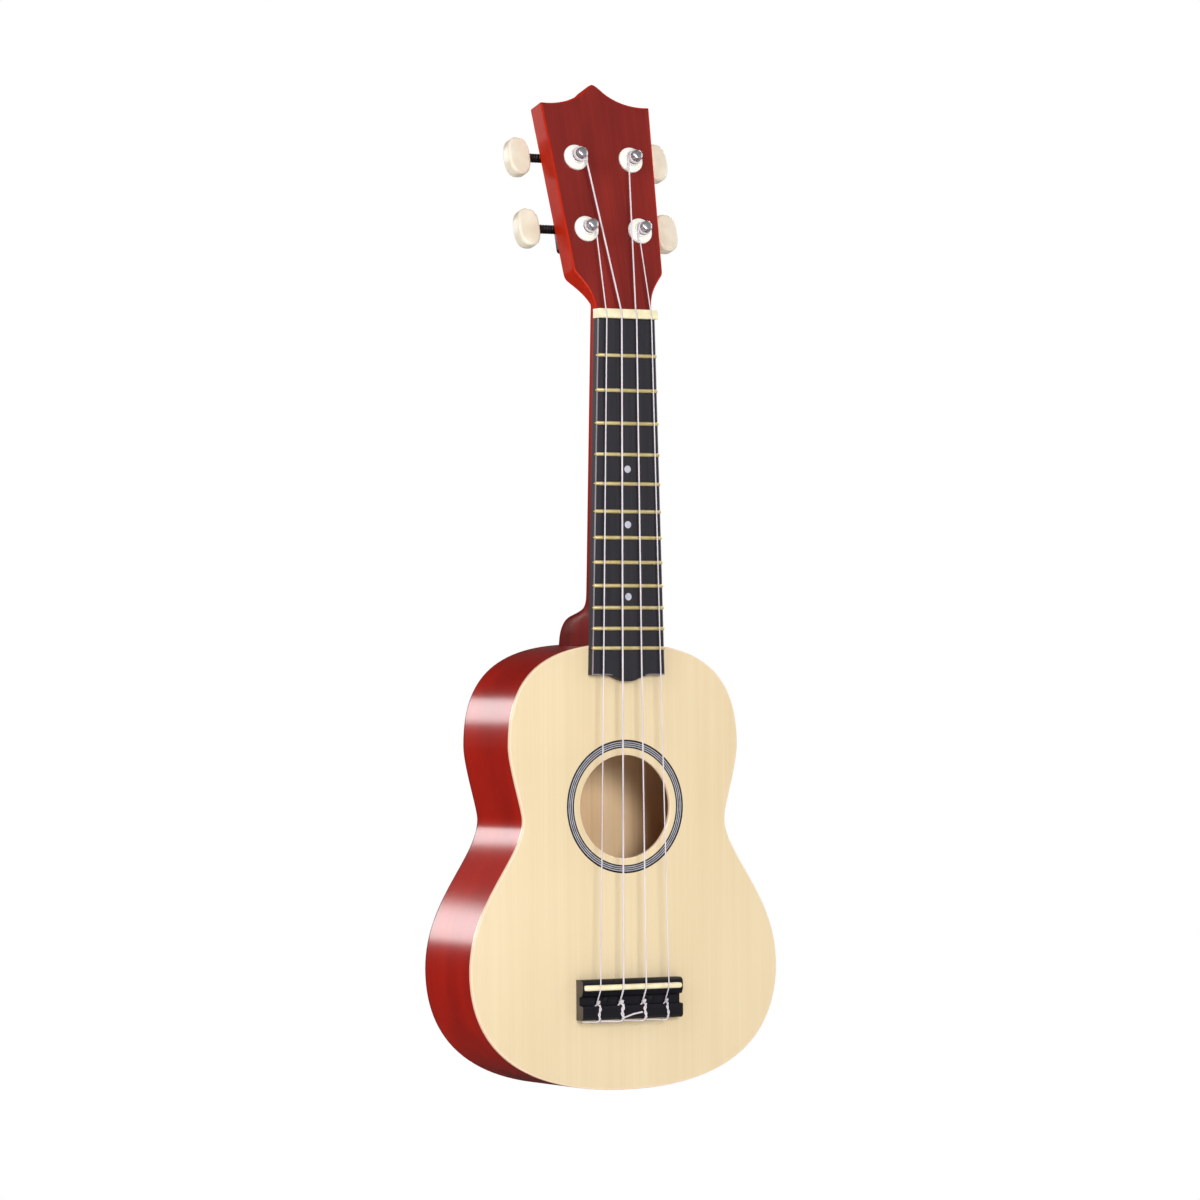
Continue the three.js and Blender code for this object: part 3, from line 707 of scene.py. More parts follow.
def tidy_mesh(mesh: bpy.types.Mesh, smooth: float | None) -> None:
    """Merges doubles, turns faces outwards and sets the shading.

    Args:
        mesh: The mesh.
        smooth: The largest angle shaded as one surface, in degrees, or None for flat faces.
    """
    work = bmesh.new()
    work.from_mesh(mesh)
    bmesh.ops.remove_doubles(work, verts=work.verts, dist=2e-7)
    bmesh.ops.recalc_face_normals(work, faces=work.faces)
    work.to_mesh(mesh)
    work.free()
    mesh.validate()
    if smooth is None:
        mesh.shade_flat()
    else:
        mesh.shade_smooth()
        mesh.set_sharp_from_angle(angle=math.radians(smooth))


def put_in_scene(name: str, mesh: bpy.types.Mesh) -> bpy.types.Object:
    """Makes an object from a mesh and links it to the scene.

    Args:
        name: The object's name.
        mesh: Its mesh.

    Returns:
        The object.
    """
    made = bpy.data.objects.new(name, mesh)
    bpy.context.scene.collection.objects.link(made)
    return made


def settled(worked: bpy.types.Object, name: str, smooth: float | None = None) -> bpy.types.Object:
    """Turns an object and its modifiers into a plain mesh object.

    Args:
        worked: The object with live modifiers, which is removed.
        name: The plain object's name.
        smooth: A new shading angle in degrees, or None to keep the shading.

    Returns:
        The plain object.
    """
    depsgraph = bpy.context.evaluated_depsgraph_get()
    mesh = bpy.data.meshes.new_from_object(worked.evaluated_get(depsgraph), depsgraph=depsgraph)
    bpy.data.objects.remove(worked)
    mesh.name = name
    if smooth is not None:
        tidy_mesh(mesh, smooth)
    return put_in_scene(name, mesh)


def softened(made: bpy.types.Object, width: float) -> bpy.types.Object:
    """Rounds an object's edges.

    Args:
        made: The object.
        width: The rounding's width, in millimetres.

    Returns:
        The same object.
    """
    bevel = made.modifiers.new("soft_edges", "BEVEL")
    bevel.width = width * MM
    bevel.segments = 2
    bevel.limit_method = "ANGLE"
    bevel.angle_limit = math.radians(SOFTENED_FROM)
    bevel.use_clamp_overlap = True
    bevel.harden_normals = True
    return made


def carved(
    made: bpy.types.Object, tool: bpy.types.Object, operation: str = "DIFFERENCE", smooth: float | None = None
) -> bpy.types.Object:
    """Cuts an object with another, or joins the two, for good.

    Args:
        made: The object.
        tool: The other object, which is removed.
        operation: DIFFERENCE, UNION or INTERSECT.
        smooth: A new shading angle in degrees, or None to keep the shading.

    Returns:
        The plain result.
    """
    name = made.name
    cut = made.modifiers.new("carve", "BOOLEAN")
    cut.operation = operation
    cut.solver = "EXACT"
    cut.object = tool
    result = settled(made, name + "_cut", smooth)
    bpy.data.objects.remove(tool)
    result.name = name
    result.data.name = name
    return result


def copied_node(node: str, name: str, finish: bpy.types.Material) -> bpy.types.Object:
    """Copies a CAD node's mesh and joins its loose triangles into whole faces.

    Args:
        node: The CAD node.
        name: The copy's name.
        finish: Its material.

    Returns:
        The copy.
    """
    mesh = frame["nodes"][node].data.copy()
    mesh.name = name
    mesh.materials.clear()
    mesh.materials.append(finish)
    work = bmesh.new()
    work.from_mesh(mesh)
    bmesh.ops.remove_doubles(work, verts=work.verts, dist=2e-6)
    bmesh.ops.dissolve_limit(work, angle_limit=0.02, verts=work.verts, edges=work.edges)
    for face in work.faces:
        face.material_index = 0
    work.to_mesh(mesh)
    work.free()
    mesh.shade_smooth()
    mesh.set_sharp_from_angle(angle=math.radians(35))
    return put_in_scene(name, mesh)


def rounded_path(points: Sequence[Sequence[float]], steps: int = 6) -> list[Vector]:
    """A smooth curve through given points.

    Args:
        points: The points.
        steps: Steps between two of them.

    Returns:
        The curve's points.
    """
    places = [Vector(point) for point in points]
    padded = [places[0] * 2 - places[1], *places, places[-1] * 2 - places[-2]]
    curve: list[Vector] = []
    for before, start, end, after in zip(padded, padded[1:], padded[2:], padded[3:]):
        long = (end - start).length
        out = (end - before).normalized() * long * 0.33
        back = (after - start).normalized() * long * 0.33
        stretch = interpolate_bezier(start, start + out, end - back, end, steps + 1)
        curve.extend(Vector(place) for place in stretch[:-1])
    curve.append(places[-1])
    return curve


def box_mm(node: str) -> tuple[Vector, Vector]:
    """A CAD node's lowest and highest corners, in millimetres."""
    low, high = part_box(node)
    return low / MM, high / MM


def finished(made: bpy.types.Object, body: str, slot: str, *nodes: str) -> bpy.types.Object:
    """Fixes a finished piece to its body and hides the CAD nodes that it stands for.

    Args:
        made: The piece.
        body: The CAD body it moves with.
        slot: The record's material slot's name; not used.
        nodes: CAD nodes that it stands for.

    Returns:
        The piece.
    """
    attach(made, body)
    if nodes:
        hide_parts(*nodes)
    LOG.info("%s rides on %s with %d faces", made.name, body, len(made.data.polygons))
    return made


# Geometry Nodes --------------------------------------------------------------------------------------


class Recipe(Graph):
    """A Geometry Nodes tree with named inputs, run on an object and then made plain."""

    KINDS = {
        float: "NodeSocketFloat",
        int: "NodeSocketInt",
        bpy.types.Object: "NodeSocketObject",
        bpy.types.Material: "NodeSocketMaterial",
    }

    def __init__(self, name: str, inputs: dict[str, type]) -> None:
        """Makes the tree.

        Args:
            name: The tree's name.
            inputs: The type of each named input.
        """
        tree = bpy.data.node_groups.new(name, "GeometryNodeTree")
        super().__init__(tree)
        face = tree.interface
        face.new_socket(name="Shape", in_out="INPUT", socket_type="NodeSocketGeometry")
        self.keys = {
            label: face.new_socket(name=label, in_out="INPUT", socket_type=self.KINDS[kind]).identifier
            for label, kind in inputs.items()
        }
        face.new_socket(name="Shape", in_out="OUTPUT", socket_type="NodeSocketGeometry")
        self.entry = tree.nodes.new("NodeGroupInput")

    def given(self, label: str) -> Wire:
        """One of the tree's inputs."""
        return Wire(self, self.entry.outputs[label])

    def vector(self, x: Wire | float = 0.0, y: Wire | float = 0.0, z: Wire | float = 0.0) -> Wire:
        """Makes a vector from three numbers."""
        return self.wire("ShaderNodeCombineXYZ", None, {0: x, 1: y, 2: z})

    def close(self, shape: Wire) -> None:
        """Ends the tree: instances made real, smooth shading and the material.

        Args:
            shape: The finished geometry.
        """
        real = self.wire("GeometryNodeRealizeInstances", None, {0: shape})
        shaded = self.wire("GeometryNodeSetShadeSmooth", None, {0: real})
        sockets = {"Geometry": shaded, "Material": self.given("Finish")}
        painted = self.wire("GeometryNodeSetMaterial", None, sockets)
        self.add("NodeGroupOutput", None, {0: painted})

    def run(
        self, host: bpy.types.Object, name: str, values: dict[str, object], smooth: float | None = 40
    ) -> bpy.types.Object:
        """Runs the tree on an object and makes the result plain.

        Args:
            host: The object it starts from, which is removed.
            name: The result's name.
            values: A value for each input.
            smooth: The shading angle of the result, in degrees.

        Returns:
            The plain object.
        """
        modifier = host.modifiers.new("recipe", "NODES")
        modifier.node_group = self.tree
        for label, value in values.items():
            modifier[self.keys[label]] = value
        finish = values["Finish"]
        made = settled(host, name, smooth)
        if not made.data.materials:
            made.data.materials.append(finish)
        return made


def lines_host(name: str, paths: Sequence[Sequence[Sequence[float]]]) -> bpy.types.Object:
    """An object of bare lines, for a recipe to start from.

    Args:
        name: Its name.
        paths: The points of each line, in millimetres.

    Returns:
        The object.
    """
    points: list[Vector] = []
    edges: list[tuple[int, int]] = []
    for path in paths:
        first = len(points)
        points.extend(Vector(place) * MM for place in path)
        edges.extend((i, i + 1) for i in range(first, len(points) - 1))
    mesh = bpy.data.meshes.new(name)
    mesh.from_pydata(points, edges, [])
    return put_in_scene(name, mesh)


class Section(Enum):
    """A section that follows a line: its node, the node's mode, and the inputs for its sockets."""

    CORD = ("GeometryNodeCurvePrimitiveCircle", "RADIUS", {"Resolution": "Sides", "Radius": "Radius"})
    STRIP = ("GeometryNodeCurvePrimitiveQuadrilateral", "RECTANGLE", {0: "Deep", 1: "Wall"})


def swept_recipe(section: Section) -> Recipe:
    """A closed body of one section along each of the host's lines.

    Args:
        section: Its section. A strip stands square to the XZ plane.

    Returns:
        The recipe, with the section's inputs and Finish.
    """
    kind, mode, sockets = section.value
    inputs = {label: int if label == "Sides" else float for label in sockets.values()}
    recipe = Recipe(section.name.lower() + "_along_lines", {**inputs, "Finish": bpy.types.Material})
    lines = recipe.wire("GeometryNodeMeshToCurve", None, {0: recipe.given("Shape")})
    profile = recipe.wire(kind, {"mode": mode}, {key: recipe.given(label) for key, label in sockets.items()})
    body = recipe.wire("GeometryNodeCurveToMesh", None, {0: lines, 1: profile, "Fill Caps": True})
    recipe.close(body)
    return recipe


def copies_recipe() -> Recipe:
    """A copy of a piece at each of the host's points, turned about X.

    Returns:
        The recipe, with inputs Piece, Lean and Finish.
    """
    inputs = {"Piece": bpy.types.Object, "Lean": float, "Finish": bpy.types.Material}
    recipe = Recipe("copies_at_points", inputs)
    piece = recipe.wire("GeometryNodeObjectInfo", None, {"Object": recipe.given("Piece")}, "Geometry")
    turn = recipe.vector(recipe.given("Lean"), 0.0, 0.0)
    copies = recipe.wire(
        "GeometryNodeInstanceOnPoints", None,
        {"Points": recipe.given("Shape"), "Instance": piece, "Rotation": turn},
    )
    recipe.close(copies)
    return recipe


def copies_of(
    copies: Recipe, blank: bpy.types.Object, name: str, places: Iterable[Sequence[float]], lean: float = 0.0,
    smooth: float = 40,
) -> bpy.types.Object:
    """Puts a copy of a piece at each place, all in one object.

    Args:
        copies: The recipe for copies at points.
        blank: The piece at the origin, which is removed.
        name: The object's name.
        places: Where the copies go, in millimetres.
        lean: Their turn about X, in radians.
        smooth: The largest angle shaded as one surface, in degrees.

    Returns:
        The object.
    """
    host = lines_host(name + "_host", [[place] for place in places])
    values = {"Piece": blank, "Lean": lean, "Finish": blank.data.materials[0]}
    made = copies.run(host, name, values, smooth)
    bpy.data.objects.remove(blank)
    return made


def bezier_line(curves: Sequence[Sequence[Flat]], steps: int) -> list[Flat]:
    """The points of curves that follow on from each other.

    Args:
        curves: Four control points for each curve.
        steps: Steps along each curve.

    Returns:
        The points, both ends included.
    """
    line: list[Flat] = []
    for curve in curves:
        points = interpolate_bezier(*[Vector((*point, 0)) for point in curve], steps + 1)
        line.extend((point.x, point.y) for point in points[:-1])
    return [*line, curves[-1][-1]]


def inset(line: Sequence[Flat], reach: float, before: Flat) -> list[Flat]:
    """Moves half an outline, which ends on the middle line, square to its run.

    Args:
        line: Its points.
        reach: How far it goes to the right of its run, or to the left below 0.
        before: The point that comes before the first one.

    Returns:
        The moved points.
    """
    moved = []
    padded = [before, *line, (-line[-2][0], line[-2][1])]
    for start, (x, z), end in zip(padded, padded[1:], padded[2:]):
        along = Vector((end[0] - start[0], end[1] - start[1])).normalized()
        moved.append((x + reach * along.y, z - reach * along.x))
    return moved


def mirrored(half: Sequence[Flat], skip_first: bool = True) -> list[Flat]:
    """Both halves of an outline whose right half ends on the middle line.

    Args:
        half: The right half.
        skip_first: Whether the first point lies on the middle line too.

    Returns:
        The whole outline.
    """
    return [*half, *[(-x, z) for x, z in reversed(half[skip_first:-1])]]


# Body ------------------------------------------------------------------------------------------------


@dataclass
class BodyOutline:
    """The body's outline: two bouts and a waist, drawn with four curves on each side."""

    top: float
    bottom: float
    upper: Flat = (69.1, -224.4)
    waist: Flat = (61.0, -263.5)
    lower: Flat = (92.6, -341.7)
    top_reach: float = 48.0
    upper_reach: Flat = (37.4, 11.3)
    waist_reach: Flat = (5.9, 20.1)
    lower_reach: Flat = (36.4, 39.2)
    bottom_reach: float = 64.3
    steps: int = 30

    def half(self, inwards: float = 0.0) -> list[Flat]:
        """The right half from the middle of the top to the middle of the bottom.

        Args:
            inwards: How far it is moved inwards, square to itself.

        Returns:
            Its points, across and up.
        """
        reaches = (self.upper_reach, self.waist_reach, self.lower_reach)
        stops = [((0, self.top), None, (self.top_reach, self.top))]
        for (x, z), (above, below) in zip((self.upper, self.waist, self.lower), reaches):
            stops.append(((x, z), (x, z + above), (x, z - below)))
        stops.append(((0, self.bottom), (self.bottom_reach, self.bottom), None))
        pairs = zip(stops, stops[1:])
        curves = [(start, leave, arrive, end) for (start, _, leave), (end, arrive, _) in pairs]
        line = bezier_line(curves, self.steps)
        return inset(line, inwards, (-line[1][0], line[1][1])) if inwards else line

    def round(self, deep: float, inwards: float = 0.0) -> list[tuple[float, float, float]]:
        """The whole outline at a depth.

        Args:
            deep: The depth.
            inwards: How far it is moved inwards.

        Returns:
            Its points.
        """
        return [(x, deep, z) for x, z in mirrored(self.half(inwards))]


@dataclass
class Body:
    """Soundboard, back, bent sides and what is inside them."""

    finishes: Finishes
    hole_z: float = -256.9
    hole_radius: float = 27.2
    ring_inner: float = 30.9
    ring_outer: float = 35.2
    ring_deep: float = 0.8
    ring_border: float = 0.8
    ring_line: float = 0.58
    ring_pale: float = 0.45
    plate: float = 2.0
    glue: float = 0.05
    rib: float = 2.0
    lining_wide: float = 4.0
    lining_tall: float = 6.0
    kerf: float = 0.9
    kerf_pitch: float = 5.4
    kerf_chamfer: float = 0.8
    web: float = 1.0
    block_half: float = 22.0
    fit: float = 0.3
    round_steps: int = 96

    def __post_init__(self) -> None:
        """Takes the outer sizes from the frame."""
        low, high = box_mm("back_plate")
        self.outline = BodyOutline(top=high.z, bottom=low.z)
        self.back = high.y

    def _circle(self, radius: float, deep: float) -> list[tuple[float, float, float]]:
        """A circle round the sound hole at a depth."""
        angles = (2 * math.pi * i / self.round_steps for i in range(self.round_steps))
        return [(radius * math.cos(a), deep, self.hole_z + radius * math.sin(a)) for a in angles]

    def soundboard(self) -> None:
        """The spruce top, with a rounded rim and a groove for the rings."""
        draft = Draft()
        rim = [(0.75, 0.0), (0.36, 0.1), (0.1, 0.36), (0.0, 0.75), (0.0, self.plate)]
        rows = [draft.loop(self.outline.round(deep, inwards)) for inwards, deep in rim]
        # The rounded rims, outside and round the hole, wear the paler edge finish: partly bare wood, partly a
        # painted highlight.
        draft.skin(rows, [1] * len(rows), Ends.OPEN)
        hole = [
            (self.ring_outer, 0.0), (self.ring_outer, self.ring_deep), (self.ring_inner, self.ring_deep),
            (self.ring_inner, 0.0), (self.hole_radius + 0.35, 0.0), (self.hole_radius + 0.1, 0.1),
            (self.hole_radius, 0.35), (self.hole_radius, self.plate),
        ]
        circles = [draft.loop(self._circle(*place)) for place in hole]
        draft.skin(circles, (0, 0, 0, 0, 1, 1, 1), Ends.OPEN)
        draft.fill([rows[0], circles[0]])
        draft.fill([rows[-1], circles[-1]])
        board = draft.build("spruce_soundboard", [self.finishes.spruce, self.finishes.spruce_edge], smooth=30)
        finished(board, ROOT, "soundboard_spruce", "soundboard")

    def back_plate(self) -> None:
        """The back, with a rounded rim."""
        draft = Draft()
        rim = [(0.0, -self.plate), (0.0, -0.9), (0.12, -0.42), (0.42, -0.12), (0.9, 0.0)]
        rows = [draft.loop(self.outline.round(self.back + up, inwards)) for inwards, up in rim]
        draft.skin(rows, ends=Ends.OPEN).fill([rows[0]], 1)
        draft.fill([rows[-1]])
        plate = draft.build("lacquered_back", [self.finishes.back, self.finishes.inside], smooth=30)
        finished(plate, ROOT, "red_gloss_wood", "back_plate")

    def rings(self) -> None:
        """The inlay round the hole: dark and grey lines by turns, laid by one recipe."""
        inputs = {
            "Count": int, "First Radius": float, "Pitch": float, "Line": float, "Deep": float,
            "Height Place": float, "Finish": bpy.types.Material,
        }
        recipe = Recipe("inlay_rings", inputs)
        points = recipe.wire("GeometryNodeMeshLine", {"mode": "OFFSET"}, {"Count": recipe.given("Count")})
        index = recipe.wire("GeometryNodeInputIndex")
        radius = recipe.given("First Radius") + index * recipe.given("Pitch") + recipe.given("Line") * 0.5
        sockets = {"Resolution": self.round_steps, "Radius": 1.0}
        circle = recipe.wire("GeometryNodeCurvePrimitiveCircle", {"mode": "RADIUS"}, sockets)
        middle = recipe.vector(0.0, recipe.given("Deep") * 0.5, recipe.given("Height Place"))
        placed = recipe.wire("GeometryNodeSetPosition", None, {"Geometry": points, "Position": middle})
        circles = recipe.wire(
            "GeometryNodeInstanceOnPoints", None,
            {"Points": placed, "Instance": circle, "Rotation": (math.pi / 2, 0, 0),
             "Scale": recipe.vector(radius, radius, radius)},
        )
        real = recipe.wire("GeometryNodeRealizeInstances", None, {0: circles})
        section = recipe.wire(
            "GeometryNodeCurvePrimitiveQuadrilateral", {"mode": "RECTANGLE"},
            {0: recipe.given("Line"), 1: recipe.given("Deep")},
        )
        ring = recipe.wire("GeometryNodeCurveToMesh", None, {0: real, 1: section})
        recipe.close(ring)
        inner, thin, pale = self.ring_border, self.ring_line, self.ring_pale
        first, pitch = self.ring_inner + inner, thin + pale
        dark, grey = self.finishes.purfling_dark, self.finishes.purfling_pale
        outer = self.ring_outer - first - 3 * pale - 2 * thin
        for name, finish, count, start, line in (
            ("rosette_inner_line", dark, 1, self.ring_inner, inner),
            ("rosette_thin_lines", dark, 2, first + pale, thin),
            ("rosette_outer_line", dark, 1, self.ring_outer - outer, outer),
            ("rosette_grey_lines", grey, 3, first, pale),
        ):
            values = {
                "Count": count, "First Radius": start * MM, "Pitch": pitch * MM, "Line": line * MM,
                "Deep": self.ring_deep * MM, "Height Place": self.hole_z * MM, "Finish": finish,
            }
            made = recipe.run(lines_host(name + "_host", []), name, values, 30)
            finished(made, ROOT, "rosette_inlay", *(["rosette"] if count == 3 else []))

    def sides(self, strip: Recipe) -> None:
        """The bent sides.

        Args:
            strip: The recipe for a bent strip.
        """
        front, back = self.plate, self.back - self.plate
        middle = (front + back) / 2
        for side, name in ((-1, "bass"), (1, "treble")):
            half = [(side * max(x, self.glue), middle, z) for x, z in self.outline.half(self.rib / 2)]
            values = {"Deep": (back - front) * MM, "Wall": self.rib * MM, "Finish": self.finishes.rim}
            rim = strip.run(lines_host(f"{name}_line", [half]), f"bent_side_{name}", values, 30)
            finished(rim, ROOT, "red_gloss_wood", f"side_{name}")

    def linings(self, strip: Recipe) -> None:
        """The kerfed strips inside the corners between plates and sides.

        Args:
            strip: The recipe for a bent strip.
        """
        inputs = {"Block": bpy.types.Object, "Pitch": float, "Finish": bpy.types.Material}
        recipe = Recipe("kerfed_blocks", inputs)
        line = recipe.wire("GeometryNodeMeshToCurve", None, {0: recipe.given("Shape")})
        spots = recipe.add(
            "GeometryNodeCurveToPoints", {"mode": "LENGTH"}, {0: line, "Length": recipe.given("Pitch")}
        )
        block = recipe.wire("GeometryNodeObjectInfo", None, {"Object": recipe.given("Block")}, "Geometry")
        turn = recipe.wire(
            "FunctionNodeAxesToRotation", {"primary_axis": "X", "secondary_axis": "Y"},
            {0: spots.outputs["Tangent"], 1: (0.0, 1.0, 0.0)},
        )
        blocks = recipe.wire(
            "GeometryNodeInstanceOnPoints", None,
            {"Points": spots.outputs[0], "Instance": block, "Rotation": turn},
        )
        recipe.close(blocks)
        outer, wide = self.rib + self.fit, self.lining_wide - self.web
        bare = self.finishes.inside_up
        for plate, deep, facing in (
            ("front", self.plate + self.glue, 1), ("back", self.back - self.plate - self.glue, -1),
        ):
            for side, name in ((-1, "bass"), (1, "treble")):
                node = f"lining_{plate}_{name}"
                middle = deep + facing * self.lining_tall / 2
                for kind, inwards in (("web", self.web / 2), ("block", self.web + wide / 2)):
                    line_places = [
                        (side * x, middle, z) for x, z in self.outline.half(outer + inwards)
                        if x > self.block_half + 3
                    ]
                    host = lines_host(f"{node}_{kind}_line", [line_places])
                    if kind == "web":
                        values = {"Deep": self.lining_tall * MM, "Wall": self.web * MM, "Finish": bare}
                        made = strip.run(host, f"{node}_web", values, 30)
                        finished(made, ROOT, "bare_wood", node)
                        continue
                    wedge = self._kerf_block(wide)
                    values = {"Block": wedge, "Pitch": self.kerf_pitch * MM, "Finish": bare}
                    made = recipe.run(host, f"{node}_blocks", values, 30)
                    bpy.data.objects.remove(wedge)
                    finished(made, ROOT, "bare_wood")

    def _kerf_block(self, wide: float) -> bpy.types.Object:
        """One block between two saw cuts, along X, deep along Y.

        Args:
            wide: Its width, along Z.

        Returns:
            The block.
        """
        long = self.kerf_pitch - self.kerf
        draft = Draft()
        half, tall, chamfer = long / 2, self.lining_tall / 2, self.kerf_chamfer
        section = [
            (-tall + chamfer, -wide / 2), (tall - chamfer, -wide / 2), (tall, -wide / 2 + chamfer),
            (tall, wide / 2 - chamfer), (tall - chamfer, wide / 2), (-tall + chamfer, wide / 2),
            (-tall, wide / 2 - chamfer), (-tall, -wide / 2 + chamfer),
        ]
        draft.skin([draft.loop((x, y, z) for y, z in section) for x in (-half, half)], ends=Ends.WHOLE)
        return draft.build("kerf_block", [self.finishes.inside_up], smooth=30)

    def dress_inside(self) -> None:
        """Bare wood on the blocks and braces, which stay as they are."""
        for node in ("brace_front_upper", "brace_front_lower", "brace_back_upper", "brace_back_lower"):
            dressed(node, self.finishes.inside)
        for node in ("neck_block", "tail_block"):
            dressed(node, self.finishes.inside_up)

    def make(self) -> None:
        """Builds the body."""
        strip = swept_recipe(Section.STRIP)
        self.soundboard()
        self.back_plate()
        self.rings()
        self.sides(strip)
        self.linings(strip)
        self.dress_inside()


def dressed(node: str, finish: bpy.types.Material) -> None:
    """Gives a CAD node that stays in sight its finish.

    Args:
        node: The node.
        finish: Its material.
    """
    mesh = frame["nodes"][node].data
    mesh.materials.clear()
    mesh.materials.append(finish)
    LOG.info("%s keeps its shape and wears %s", node, finish.name)


# Neck ------------------------------------------------------------------------------------------------


@dataclass
class Neck:
    """Neck, heel and head in one piece, with the fretboard, frets, dots and nut."""

    finishes: Finishes
    outline: BodyOutline
    scale: float = 347.0
    frets: int = 12
    half_at_nut: float = 17.3
    half_at_end: float = 22.0
    board_end: float = -187.6
    board_thick: float = 4.75
    tongue: float = 3.4
    glue: float = 0.05
    fit: float = 0.3
    nut_thick: float = 5.0
    head_at_nut: float = -3.44
    head_thick: float = 12.0
    head_tip: float = 131.9
    head_steps: int = 10
    corner: Flat = (33.1, 120.3)
    shoulder: Flat = (26.9, 27.0)
    throat_half: float = 17.0
    squareness: Flat = (2.6, 3.4)
    taper: Flat = (0.4, 0.04)
    heel_from: float = 18.0
    heel_by: float = 48.0
    around: int = 44
    back_line: Sequence[Flat] = (
        (-176, 49.8), (-171, 49.6), (-167, 48.8), (-163, 47.2), (-160, 45.2), (-158, 42.8),
        (-156.5, 39.4), (-155.2, 34.2), (-153.8, 28.0), (-152.2, 22.6), (-150, 19.4), (-147, 17.6),
        (-142, 17.0), (-100, 16.5), (-50, 15.9), (0, 15.2), (8, 14.7), (16, 14.8), (24, 16.0), (32, 17.4),
    )
    crown_wide: float = 1.9
    crown_tall: float = 0.95
    tang_wide: float = 0.5
    tang_deep: float = 1.4
    dot_spaces: Sequence[int] = (5, 7, 10)
    dot_radius: float = 2.1

    def __post_init__(self) -> None:
        """Sets the head's plane and the body's depth."""
        self.body_deep = box_mm("back_plate")[1].y
        self.head = Matrix.Translation((0, self.head_at_nut, 0)) @ Matrix.Rotation(-TILT, 4, "X")

    def fret_z(self, number: float) -> float:
        """Height of a fret by the equal-tempered rule."""
        return -self.scale * (1 - 2 ** (-number / 12))

    def board_half(self, z: float) -> float:
        """Half the fretboard's width at a height."""
        return self.half_at_nut + (self.half_at_end - self.half_at_nut) * z / self.board_end

    def _section(self, z: float, back: float) -> list[tuple[float, float, float]]:
        """The neck's section at a height.

        Args:
            z: The height.
            back: Depth of the neck's back there.

        Returns:
            Its points, from the right edge round the back to the left edge.
        """
        in_head = z > self.nut_thick
        front = max(0.0, self.head_at_nut + z * math.tan(TILT) + 1) if in_head else 0.0
        half = self.board_half(z) - self.fit
        if in_head:
            half = min(self.throat_half + 0.02 * (z - self.nut_thick) ** 2 - 0.2, self.shoulder[0] - 1)
        heel = min(max((back - self.heel_from) / (self.heel_by - self.heel_from), 0.0), 1.0)
        power = 2 / (self.squareness[0] + (self.squareness[1] - self.squareness[0]) * heel)
        taper = self.taper[0] + (self.taper[1] - self.taper[0]) * heel
        points = []
        for i in range(self.around + 1):
            angle = math.pi * i / self.around
            deep = front + (back - front) * abs(math.sin(angle)) ** power
            across = math.copysign(abs(math.cos(angle)) ** power, math.cos(angle))
            points.append((across * half * (1 - taper * deep / self.body_deep), deep, z))
        return points

    def _shaft(self) -> bpy.types.Object:
        """The neck from the heel to under the head.

        Returns:
            The plain object.
        """
        draft = Draft()
        spine = rounded_path([(0, deep, z) for z, deep in self.back_line], 5)
        rows = [draft.loop(self._section(place.z, place.y)) for place in spine]
        draft.skin(rows, ends=Ends.WHOLE)
        return draft.build("neck_shaft", [self.finishes.neck, self.finishes.head_face])

    def _head_line(self, inwards: float = 0.0) -> list[Flat]:
        """The head's outline in its own plane.

        Args:
            inwards: How far it is moved inwards.

        Returns:
            Its points, across and up.
        """
        throat, tip = self.throat_half, self.head_tip
        (shoulder, rise), (corner, top) = self.shoulder, self.corner
        curves = (
            ((throat, -1), (throat, 1), (throat, 3), (throat, 5)),
            ((throat, 5), (17.4, 14.5), (21.3, 19), (shoulder - 0.9, rise - 2.2)),
            ((shoulder - 0.9, rise - 2.2), (shoulder - 0.3, rise - 1.4), (shoulder, rise - 0.3),
             (shoulder + 0.1, rise + 0.9)),
            ((shoulder + 0.1, rise + 0.9), (shoulder + 2, rise + 30), (corner - 2, top - 30),
             (corner, top - 0.6)),
            ((corner, top - 0.6), (corner, top - 0.2), (corner - 0.3, top), (corner - 0.7, top)),
            ((corner - 0.7, top), (22.5, top - 0.7), (13, top + 2.1), (7, top + 6.7)),
            ((7, top + 6.7), (4.6, top + 8.6), (2.4, tip - 0.4), (0, tip)),
        )
        line = bezier_line(curves, self.head_steps)
        return inset(line, -inwards, line[0]) if inwards else line

    def _head_blank(self) -> bpy.types.Object:
        """The head's slab, with softened edges and its throat cut away behind.

        Returns:
            The plain object.
        """
        draft = Draft()
        soft = [(0.9, 0.0), (0.4, 0.12), (0.1, 0.42), (0.0, 0.9)]
        rim = [*soft, *[(inwards, self.head_thick - deep) for inwards, deep in reversed(soft)]]
        lines = [(deep, mirrored(self._head_line(inwards), False)) for inwards, deep in rim]
        rows = [draft.loop((x, deep, up) for x, up in line) for deep, line in lines]
        draft.skin(rows, ends=Ends.OPEN).fill([rows[0]], 1)
        draft.fill([rows[-1]])
        blank = draft.build("head_blank", [self.finishes.neck, self.finishes.head_face], self.head, 30)
        wedge = Draft()
        cut = [(2, -9), (2, 4), (self.head_thick + 1, self.shoulder[1]), (self.head_thick + 1, -9)]
        wedge.skin([wedge.loop((x, deep, up) for deep, up in cut) for x in (-40, 40)], ends=Ends.WHOLE)
        return carved(blank, wedge.build("throat_wedge", [self.finishes.neck], self.head))

